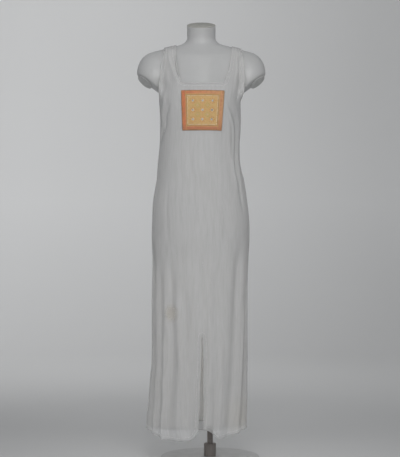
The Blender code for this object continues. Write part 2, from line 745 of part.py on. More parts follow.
def make_arm_cap(name, sign):
    """Oval plate on the cut end of a shoulder."""
    lift = Vector((ARM_CUT_NORMAL.x * sign, ARM_CUT_NORMAL.y, ARM_CUT_NORMAL.z))
    across = Vector((0.0, 1.0, 0.0))
    across = (across - lift * across.dot(lift)).normalized()
    middle = Vector((ARM_CAP_CENTRE.x * sign, ARM_CAP_CENTRE.y, ARM_CAP_CENTRE.z))
    distance = (ARM_CAP_CENTRE - ARM_CUT_POINT).dot(ARM_CUT_NORMAL)
    middle -= lift * distance
    bpy.ops.mesh.primitive_cylinder_add(vertices=28, radius=1.0, depth=CAP_THICKNESS)
    cap = bpy.context.object
    cap.name = name
    cap.data.name = name
    cap.scale = (ARM_CAP_RADII[0], ARM_CAP_RADII[1], 1.0)
    cap.rotation_euler = Matrix((across.cross(lift), across, lift)).transposed().to_euler()
    cap.location = middle + lift * (SEAM_GAP + CAP_THICKNESS / 2)
    cap.data.materials.append(cap_finish)
    for owner in list(cap.users_collection):
        owner.objects.unlink(cap)
    collection.objects.link(cap)


def turned(name, profile, material, x):
    """Round piece from a profile of radius and height, top to bottom on its outer side."""
    mesh = bpy.data.meshes.new(name)
    mesh.from_pydata([(radius, 0.0, height) for radius, height in profile],
                     [(k, k + 1) for k in range(len(profile) - 1)], [])
    part = add_object(name, mesh, material)
    part.location.x = x
    screw = part.modifiers.new("turn", "SCREW")
    screw.axis = "Z"
    screw.steps = TURN_STEPS
    screw.render_steps = TURN_STEPS
    screw.use_merge_vertices = True
    screw.merge_threshold = 0.00001
    screw.use_smooth_shade = False


def make_stand():
    """Pole, its socket and the base plate."""
    plate_top = BASE_THICKNESS
    turned("base_plate", ((0.0, plate_top), (BASE_RADIUS - BASE_EDGE, plate_top),
                          (BASE_RADIUS, plate_top - BASE_EDGE), (BASE_RADIUS, 0.0), (0.0, 0.0)),
           base_finish, POLE_X)
    foot = plate_top + SEAM_GAP
    form_bottom = FORM_RINGS[0] - SEAM_GAP
    turned("pole", ((0.0, form_bottom), (POLE_RADIUS, form_bottom), (POLE_RADIUS, foot), (0.0, foot)),
           pole_finish, POLE_X)
    bore = POLE_RADIUS + SEAM_GAP
    collar_top = foot + SOCKET_HEIGHT
    turned("pole_socket", ((bore, foot), (bore, collar_top), (SOCKET_RADIUS - SOCKET_EDGE, collar_top),
                           (SOCKET_RADIUS, collar_top - SOCKET_EDGE), (SOCKET_RADIUS, foot), (bore, foot)),
           pole_finish, POLE_X)


for old in list(bpy.data.objects):
    bpy.data.objects.remove(old, do_unlink=True)
collection = bpy.data.collections.new("maxi_dress_on_form")
bpy.context.scene.collection.children.link(collection)
cloth = new_material("crinkled sheer cloth", CLOTH_COLOUR, 0.85)
lining = new_material("lining cloth", LINING_COLOUR, 0.80)
embroidery = new_material("beaded embroidery", PATCH_COLOUR, 0.60)
form_skin = new_material("form skin", FORM_COLOUR, 0.35)
cap_finish = new_material("cap", CAP_COLOUR, 0.50)
pole_finish = new_material("dark pole", POLE_COLOUR, 0.40, 0.6)
base_finish = new_material("base plate", BASE_COLOUR, 0.40, 0.5)

form_faces = make_form()
make_arm_cap("arm_cap_left", -1)
make_arm_cap("arm_cap_right", 1)
make_stand()
front_grid = make_layers(-1, "outer_front", "lining_front", FRONT_HEM, FRONT_LINING_HEM)
make_layers(1, "outer_back", "lining_back", BACK_HEM, BACK_LINING_HEM)
make_patch(*front_grid)
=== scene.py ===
# A sleeveless maxi dress on a limbless dress form: crinkled sheer cloth over a lining, with a beaded patch.
# Metres, +Z up, the dress faces -Y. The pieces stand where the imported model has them.

import math

import bmesh
import bpy
import numpy as np
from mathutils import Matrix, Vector
from mathutils.bvhtree import BVHTree


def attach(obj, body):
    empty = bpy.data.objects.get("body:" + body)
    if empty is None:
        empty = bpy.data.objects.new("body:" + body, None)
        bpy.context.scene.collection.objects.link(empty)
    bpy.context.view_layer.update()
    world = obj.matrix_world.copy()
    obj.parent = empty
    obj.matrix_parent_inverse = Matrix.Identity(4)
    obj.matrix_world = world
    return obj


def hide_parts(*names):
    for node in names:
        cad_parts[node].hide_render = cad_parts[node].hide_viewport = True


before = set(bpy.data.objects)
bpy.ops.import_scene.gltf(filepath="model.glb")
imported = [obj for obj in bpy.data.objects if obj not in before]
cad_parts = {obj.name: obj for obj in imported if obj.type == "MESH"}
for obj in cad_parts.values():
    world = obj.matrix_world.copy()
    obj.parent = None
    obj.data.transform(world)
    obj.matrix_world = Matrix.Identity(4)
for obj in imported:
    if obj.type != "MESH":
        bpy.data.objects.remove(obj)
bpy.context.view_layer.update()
pieces = bpy.data.collections.new("dressPieces")
bpy.context.scene.collection.children.link(pieces)
print("frame loaded:", len(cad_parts), "nodes")


# Numbers and tables

def mix(start, end, share):
    return start + (end - start) * share


def ease(share):
    share = np.clip(share, 0.0, 1.0)
    return share * share * (3 - 2 * share)


def tableAt(rows, column, key):  # a smooth curve through a table's rows
    keys = np.array([row[0] for row in rows], float)
    values = np.array([row[column] for row in rows], float)
    key = np.clip(np.asarray(key, float), keys[0], keys[-1])
    low = np.clip(np.searchsorted(keys, key, side="left") - 1, 0, len(keys) - 2)
    before = np.maximum(low - 1, 0)
    after = np.minimum(low + 2, len(keys) - 1)
    span = keys[low + 1] - keys[low]
    t = (key - keys[low]) / span
    slopeLow = (values[low + 1] - values[before]) / (keys[low + 1] - keys[before]) * span
    slopeHigh = (values[after] - values[low]) / (keys[after] - keys[low]) * span
    rise = values[low + 1] - values[low]
    bend = slopeLow + slopeHigh - 2 * rise
    return values[low] + t * slopeLow + t * t * (3 * rise - 2 * slopeLow - slopeHigh) + t ** 3 * bend


def noiseField(u, v, cell, seed):  # soft noise from -1 to 1, cell is its size across and up
    lattice = np.random.RandomState(seed).uniform(-1, 1, (257, 257))
    a = u / cell[0]
    b = v / cell[1]
    i = np.floor(a).astype(int)
    j = np.floor(b).astype(int)
    along = ease(a - i)
    up = ease(b - j)
    low = mix(lattice[i % 257, j % 257], lattice[(i + 1) % 257, j % 257], along)
    high = mix(lattice[i % 257, (j + 1) % 257], lattice[(i + 1) % 257, (j + 1) % 257], along)
    return mix(low, high, up)


def unit(vectors):
    return vectors / np.maximum(np.linalg.norm(vectors, axis=-1, keepdims=True), 1e-12)


# Making materials and pieces

def node(tree, kind, settings=None, inputs=None):  # an input is a value or a socket
    full = kind if kind.startswith(("Geometry", "Function")) else "ShaderNode" + kind
    made = tree.nodes.new(full)
    for key, value in (settings or {}).items():
        setattr(made, key, value)
    for key, value in (inputs or {}).items():
        if isinstance(value, bpy.types.NodeSocket):
            tree.links.new(value, made.inputs[key])
        else:
            made.inputs[key].default_value = value
    return made


def newFinish(name, values):  # values are constants set on the shader's own sockets
    finish = bpy.data.materials.new(name)
    finish.use_nodes = True
    shader = finish.node_tree.nodes["Principled BSDF"]
    for key, value in values.items():
        shader.inputs[key].default_value = value
    return finish, finish.node_tree, shader


def paint(tree, shader, colour, roughness, normal):
    for label, socket in (("Base Color", colour), ("Roughness", roughness), ("Normal", normal)):
        tree.links.new(socket, shader.inputs[label])


def ownPlace(tree):  # the piece's own coordinates
    return node(tree, "TexCoord").outputs["Object"]


def stretched(tree, source, scale):
    return node(tree, "Mapping", {}, {"Vector": source, "Scale": scale}).outputs[0]


def noise(tree, source, scale, detail, roughness=0.55):
    return node(tree, "TexNoise", {}, {"Vector": source, "Scale": scale, "Detail": detail,
                                       "Roughness": roughness}).outputs["Fac"]


def ramp(tree, source, low, high, fromLow=0.0, fromHigh=1.0):  # a number moved to another range, clamped
    return node(tree, "MapRange", {}, {"Value": source, "From Min": fromLow, "From Max": fromHigh,
                                       "To Min": low, "To Max": high}).outputs["Result"]


def sums(tree, operation, first, second):
    return node(tree, "Math", {"operation": operation}, {0: first, 1: second}).outputs[0]


def blendColour(tree, factor, first, second):
    made = node(tree, "Mix", {"data_type": "RGBA"}, {"Factor": factor})
    for slot, value in ((6, first), (7, second)):
        if isinstance(value, bpy.types.NodeSocket):
            tree.links.new(value, made.inputs[slot])
        else:
            made.inputs[slot].default_value = value
    return made.outputs[2]


def bumped(tree, height, distance, strength=1.0, below=None):
    inputs = {"Height": height, "Distance": distance, "Strength": strength}
    if below is not None:
        inputs["Normal"] = below
    return node(tree, "Bump", {}, inputs).outputs[0]


def addPiece(name, mesh, finish):
    piece = bpy.data.objects.new(name, mesh)
    pieces.objects.link(piece)
    mesh.materials.clear()
    mesh.materials.append(finish)
    return piece


def plainCopy(piece):  # the piece as its modifiers leave it, as a mesh with none
    graph = bpy.context.evaluated_depsgraph_get()
    mesh = bpy.data.meshes.new_from_object(piece.evaluated_get(graph))
    name = piece.name
    bpy.data.objects.remove(piece)
    copy = bpy.data.objects.new(name, mesh)
    mesh.name = name
    pieces.objects.link(copy)
    return copy


# The dress form

form = {
    "sections": (
        # height, half width, front, back, centre
        (0.690, 0.140, 0.075, 0.095, 0.000),
        (0.715, 0.149, 0.085, 0.106, 0.000),
        (0.760, 0.157, 0.092, 0.114, 0.000),
        (0.800, 0.159, 0.095, 0.117, 0.000),
        (0.840, 0.156, 0.095, 0.115, 0.000),
        (0.880, 0.148, 0.094, 0.106, 0.000),
        (0.920, 0.137, 0.091, 0.093, 0.000),
        (0.960, 0.126, 0.087, 0.082, 0.000),
        (1.000, 0.119, 0.083, 0.075, 0.000),
        (1.040, 0.116, 0.083, 0.072, 0.000),
        (1.080, 0.118, 0.088, 0.074, 0.000),
        (1.120, 0.123, 0.098, 0.079, 0.000),
        (1.160, 0.128, 0.109, 0.085, 0.000),
        (1.200, 0.130, 0.115, 0.090, 0.000),
        (1.235, 0.128, 0.112, 0.093, 0.000),
        (1.270, 0.128, 0.103, 0.095, 0.000),
        (1.300, 0.138, 0.093, 0.094, 0.000),
        (1.340, 0.152, 0.081, 0.089, 0.001),
        (1.380, 0.163, 0.070, 0.080, 0.002),
        (1.405, 0.172, 0.062, 0.071, 0.003),
        (1.420, 0.165, 0.055, 0.062, 0.004),
        (1.4335, 0.124, 0.050, 0.056, 0.006),
        (1.4475, 0.071, 0.047, 0.053, 0.008),
        (1.462, 0.052, 0.048, 0.050, 0.008),
        (1.480, 0.050, 0.048, 0.049, 0.003),
        (1.520, 0.050, 0.049, 0.049, -0.011),
    ),
    "ringSpans": (  # from height, to height, rings
        (0.690, 0.700, 4), (0.700, 1.240, 56), (1.240, 1.360, 44), (1.360, 1.460, 44), (1.460, 1.512, 12),
    ),
    "columns": 128,
    "neckTilt": 0.36,
    "neckTiltStart": 1.455,
    "bustHeight": 1.205,
    "bustSpread": 0.068,
    "bustDepth": 0.009,
    "bustWidth": 0.036,
    "bustTallness": 0.045,
    "bustFade": 0.03,           # in depth, behind its front
    "shoulderCentre": (0.165, 0.006, 1.345),
    "shoulderRadii": (0.060, 0.052, 0.075),
    "shoulderBlend": 0.014,
    "armCutPoint": (0.162, 0.0, 1.290),
    "armCutNormal": (0.60607, -0.25003, -0.75509),
    "armCutRounding": 0.004,
    "longestRay": 0.26,
    "edgeHalvings": 26,         # of a ray, to find the surface
    "clearHalvings": 18,        # the same, to find a clearance
    "endShrink": 0.985,         # of the neck's rounded end
    "endRise": 0.0003,
    "colour": (0.455, 0.455, 0.451, 1.0),
    "scuffColour": (0.41, 0.41, 0.402, 1.0),
    "roughness": 0.44,
}


def formGap(points):  # rough distance from the form's surface, below 0 inside it
    x, y, z = points[..., 0], points[..., 1], points[..., 2]
    halfWidth, front, back, centre = (tableAt(form["sections"], column, z) for column in (1, 2, 3, 4))
    dy = y - centre
    reach = np.hypot(x, dy)
    ratio = np.maximum(np.hypot(x / halfWidth, dy / np.where(dy < 0, front, back)), 1e-6)
    across = (np.abs(x) - form["bustSpread"]) / form["bustWidth"]
    up = (z - form["bustHeight"]) / form["bustTallness"]
    bust = form["bustDepth"] * np.exp(-across ** 2 - up ** 2) * ease(-dy / form["bustFade"])
    trunk = reach - reach / ratio - bust
    offset = np.stack([np.abs(x), y, z], -1) - np.array(form["shoulderCentre"])
    ballRatio = np.maximum(np.linalg.norm(offset / np.array(form["shoulderRadii"]), axis=-1), 1e-6)
    ball = np.linalg.norm(offset, axis=-1) * (1 - 1 / ballRatio)
    cutOffset = np.stack([np.abs(x), y, z], -1) - np.array(form["armCutPoint"])
    cut = cutOffset @ np.array(form["armCutNormal"])
    rim = np.maximum(form["armCutRounding"] - np.abs(ball - cut), 0.0)
    arm = np.maximum(ball, cut) + rim * rim / (4 * form["armCutRounding"])
    overlap = np.maximum(form["shoulderBlend"] - np.abs(trunk - arm), 0.0)
    return np.minimum(trunk, arm) - overlap * overlap / (4 * form["shoulderBlend"])


def formEdge(starts, directions):  # where rays from inside leave the form
    near = np.zeros(len(starts))
    far = np.full(len(starts), form["longestRay"])
    for _ in range(form["edgeHalvings"]):
        middle = (near + far) / 2
        inside = formGap(starts + directions * middle[:, None]) < 0
        near = np.where(inside, middle, near)
        far = np.where(inside, far, middle)
    return starts + directions * near[:, None]


def formRings():
    heights = []
    for low, high, count in form["ringSpans"]:
        heights += [mix(low, high, k / count) for k in range(count)]
    heights.append(form["ringSpans"][-1][1])
    rings = []
    for height in heights:
        neckShare = (height - form["neckTiltStart"]) / (heights[-1] - form["neckTiltStart"])
        tilt = form["neckTilt"] * min(max(neckShare, 0.0), 1.0)
        middle = np.array([0.0, float(tableAt(form["sections"], 4, height)), height])
        halfWidth = formEdge(middle[None], np.array([[1.0, 0.0, 0.0]]))[0, 0]
        angles = 2 * math.pi * np.arange(form["columns"]) / form["columns"]
        starts = middle + np.stack([halfWidth * np.cos(angles), angles * 0, angles * 0], -1)
        side = np.where(np.sin(angles) < 0, -1.0, 1.0)
        ring = formEdge(starts, np.stack([side * 0, side, side * tilt], -1))
        flat = np.abs(np.sin(angles)) < 1e-9
        ring[flat] = starts[flat]
        rings.append(ring)
    return rings


def loftMesh(name, rings):  # closed skin through rings of points, with flat ends
    mesh = bpy.data.meshes.new(name)
    build = bmesh.new()
    verts = [[build.verts.new(point) for point in ring] for ring in rings]
    count = len(verts[0])
    for low, high in zip(verts, verts[1:]):
        for k in range(count):
            after = (k + 1) % count
            build.faces.new((low[k], low[after], high[after], high[k]))
    build.faces.new(list(reversed(verts[0])))
    build.faces.new(verts[-1])
    bmesh.ops.recalc_face_normals(build, faces=build.faces)
    build.to_mesh(mesh)
    build.free()
    mesh.shade_smooth()
    mesh.set_sharp_from_angle(angle=math.radians(48))
    return mesh


formFinish, tree, shader = newFinish("paintedShell", {"Roughness": form["roughness"], "Coat Weight": 0.30,
                                                      "Coat Roughness": 0.20})
place = ownPlace(tree)
cloudy = noise(tree, place, 9.0, 4.0)
speckle = noise(tree, place, 620.0, 2.0)
tint = blendColour(tree, ramp(tree, cloudy, 0.0, 0.55, 0.42, 0.72), form["colour"], form["scuffColour"])
worn = noise(tree, place, 34.0, 5.0)
rough = ramp(tree, worn, form["roughness"] - 0.06, form["roughness"] + 0.12, 0.3, 0.7)
paint(tree, shader, tint, rough, bumped(tree, speckle, 0.00008, 0.6, bumped(tree, cloudy, 0.0012, 0.5)))

rings = formRings()
neckRing = rings[-1]
neckCentre = neckRing.mean(axis=0)
neckUp = unit(np.array([0.0, -form["neckTilt"], 1.0]))
rings.append(neckCentre + (neckRing - neckCentre) * form["endShrink"] + neckUp * form["endRise"])
torso = addPiece("formSkin", loftMesh("formSkin", rings), formFinish)
formTree = BVHTree.FromPolygons([tuple(vert.co) for vert in torso.data.vertices],
                                [tuple(face.vertices) for face in torso.data.polygons])
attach(torso, "root")
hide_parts("form_torso")
print("form built:", len(torso.data.vertices), "points")


def formDistance(points):  # distance from the form, below 0 inside it
    flat = points.reshape(-1, 3)
    inside = (formGap(flat) < 0) & (flat[:, 2] > form["sections"][0][0])
    distance = np.array([formTree.find_nearest(point)[3] for point in flat])
    return np.where(inside, -distance, distance).reshape(points.shape[:-1])


def pushClear(points, outward, clearance, rounds=4):  # moves points out until they are clear of the form
    points = points.copy()
    for _ in range(rounds):
        lack = np.maximum(clearance - formDistance(points), 0.0)
        points += outward * lack[..., None]
    return points


def reachOutside(origins, directions, clearance):  # where rays from inside are that far off the form
    near = np.zeros(len(origins))
    far = np.full(len(origins), form["longestRay"])
    for _ in range(form["clearHalvings"]):
        middle = (near + far) / 2
        inside = formDistance(origins + directions * middle[:, None]) < clearance
        near = np.where(inside, middle, near)
        far = np.where(inside, far, middle)
    return origins + directions * far[:, None]


# The plates on the form's neck and arms

cap = {
    "neckInset": 0.976,
    "thickness": 0.0020,
    "radius": 0.05,
    "edge": 0.0005,
    "gap": 0.0003,
    "colour": (0.405, 0.398, 0.362, 1.0),
    "darkColour": (0.340, 0.334, 0.302, 1.0),
    "armColour": (0.500, 0.500, 0.494, 1.0),
    "armDarkColour": (0.43, 0.43, 0.42, 1.0),
    "roughness": 0.55,
}


def makeCapFinish(name, colour, darkColour):
    finish, tree, shader = newFinish(name, {"Roughness": cap["roughness"]})
    place = ownPlace(tree)
    grain = noise(tree, stretched(tree, place, (1.0, 0.35, 1.0)), 70.0, 5.0)
    tint = blendColour(tree, ramp(tree, grain, 0.0, 1.0, 0.35, 0.7), colour, darkColour)
    rough = ramp(tree, grain, cap["roughness"] - 0.06, cap["roughness"] + 0.1)
    paint(tree, shader, tint, rough, bumped(tree, noise(tree, place, 420.0, 3.0), 0.0001))
    return finish


capFinish = makeCapFinish("mattNeckPlate", cap["colour"], cap["darkColour"])
armFinish = makeCapFinish("mattArmPlate", cap["armColour"], cap["armDarkColour"])

capTop = cap["gap"] + cap["thickness"]
edgePart = cap["edge"] / cap["radius"]
capRings = []
for shrink, rise in ((1.0, cap["gap"]), (1.0, capTop - cap["edge"]),
                     (1 - edgePart * 0.4, capTop - cap["edge"] * 0.3), (1 - edgePart, capTop)):
    capRings.append(neckCentre + (neckRing - neckCentre) * cap["neckInset"] * shrink + neckUp * rise)
neckPlate = addPiece("neckPlate", loftMesh("neckPlate", capRings), capFinish)
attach(neckPlate, "root")
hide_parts("neck_cap")
for side in ("left", "right"):
    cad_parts["arm_cap_" + side].material_slots[0].material = armFinish
print("end plates done")


# The pole, its socket and the base plate

stand = {
    "x": 0.0306,
    "poleRadius": 0.0100,
    "poleTop": 0.6897,
    "baseRadius": 0.1720,
    "baseThickness": 0.0080,
    "baseEdge": 0.0028,
    "chamfer": 0.0008,          # under the base and inside the socket's mouth
    "socketRadius": 0.0210,
    "socketHeight": 0.0450,
    "socketRound": 0.003,
    "gap": 0.0003,
    "steps": 96,
    "poleColour": (0.250, 0.225, 0.210, 1.0),
    "poleShade": (0.120, 0.105, 0.096, 1.0),
    "baseColour": (0.36, 0.36, 0.355, 1.0),
    "baseShade": (0.30, 0.30, 0.295, 1.0),
}


def arcPoints(centre, radius, count):  # the outer upper quarter of a round, as points of a profile
    turns = [math.radians(mix(0, 90, k / count)) for k in range(count + 1)]
    return [(centre[0] + radius * math.cos(turn), centre[1] + radius * math.sin(turn)) for turn in turns]


def turnedPiece(name, profile, finish, closed):  # a round piece from its profile of radius and height
    mesh = bpy.data.meshes.new(name)
    build = bmesh.new()
    steps = stand["steps"]
    rows = []
    for radius, height in profile:
        if radius < 1e-6:
            rows.append([build.verts.new((stand["x"], 0.0, height))])
            continue
        turns = [2 * math.pi * k / steps for k in range(steps)]
        rows.append([build.verts.new((stand["x"] + radius * math.cos(turn), radius * math.sin(turn), height))
                     for turn in turns])
    pairs = list(zip(rows, rows[1:]))
    if closed:
        pairs.append((rows[-1], rows[0]))
    for low, high in pairs:
        for k in range(steps):
            after = (k + 1) % steps
            if len(low) == 1:
                build.faces.new((low[0], high[after], high[k]))
            elif len(high) == 1:
                build.faces.new((low[k], low[after], high[0]))
            else:
                build.faces.new((low[k], low[after], high[after], high[k]))
    bmesh.ops.recalc_face_normals(build, faces=build.faces)
    build.to_mesh(mesh)
    build.free()
    mesh.shade_smooth()
    mesh.set_sharp_from_angle(angle=math.radians(40))
    return addPiece(name, mesh, finish)


poleFinish, tree, shader = newFinish("darkBrownPaint", {"Roughness": 0.38, "Metallic": 0.35})
place = ownPlace(tree)
streaks = noise(tree, stretched(tree, place, (1.0, 1.0, 0.06)), 260.0, 4.0)
tint = blendColour(tree, ramp(tree, streaks, 0.0, 0.6, 0.4, 0.8), stand["poleColour"], stand["poleShade"])
paint(tree, shader, tint, ramp(tree, streaks, 0.30, 0.48), bumped(tree, streaks, 0.00012))

baseFinish, tree, shader = newFinish("paleGreyPaint", {"Roughness": 0.45, "Metallic": 0.0})
place = ownPlace(tree)
wear = noise(tree, place, 26.0, 6.0, 0.65)
pebble = noise(tree, place, 900.0, 2.0)
tint = blendColour(tree, ramp(tree, wear, 0.0, 0.5, 0.5, 0.8), stand["baseColour"], stand["baseShade"])
paint(tree, shader, tint, ramp(tree, wear, 0.36, 0.52, 0.3, 0.7), bumped(tree, pebble, 0.0001))

edge, chamfer, rounding = stand["baseEdge"], stand["chamfer"], stand["socketRound"]
wide, top = stand["baseRadius"], stand["baseThickness"]
poleWide, poleTop, collarWide = stand["poleRadius"], stand["poleTop"], stand["socketRadius"]
foot = top + stand["gap"]
collarTop = foot + stand["socketHeight"]
bore = poleWide + stand["gap"]
basePiece = turnedPiece("basePlate", [(0.0, 0.0), (wide - chamfer, 0.0), (wide, chamfer)]
                        + arcPoints((wide - edge, top - edge), edge, 6) + [(0.0, top)], baseFinish, False)
polePiece = turnedPiece("pole", [(0.0, foot), (poleWide, foot), (poleWide, poleTop), (0.0, poleTop)],
                        poleFinish, False)
socketPiece = turnedPiece("poleSocket", [(bore, foot), (collarWide, foot)]
                          + arcPoints((collarWide - rounding, collarTop - rounding), rounding, 5)
                          + [(bore + chamfer, collarTop), (bore, collarTop - chamfer)], poleFinish, True)
for piece, nodeName, slotName in ((basePiece, "base_plate", "base"), (polePiece, "pole", "pole"),
                                  (socketPiece, "pole_socket", "pole")):
    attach(piece, "root")
    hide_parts(nodeName)
print("stand built")


# The dress: the way it hangs

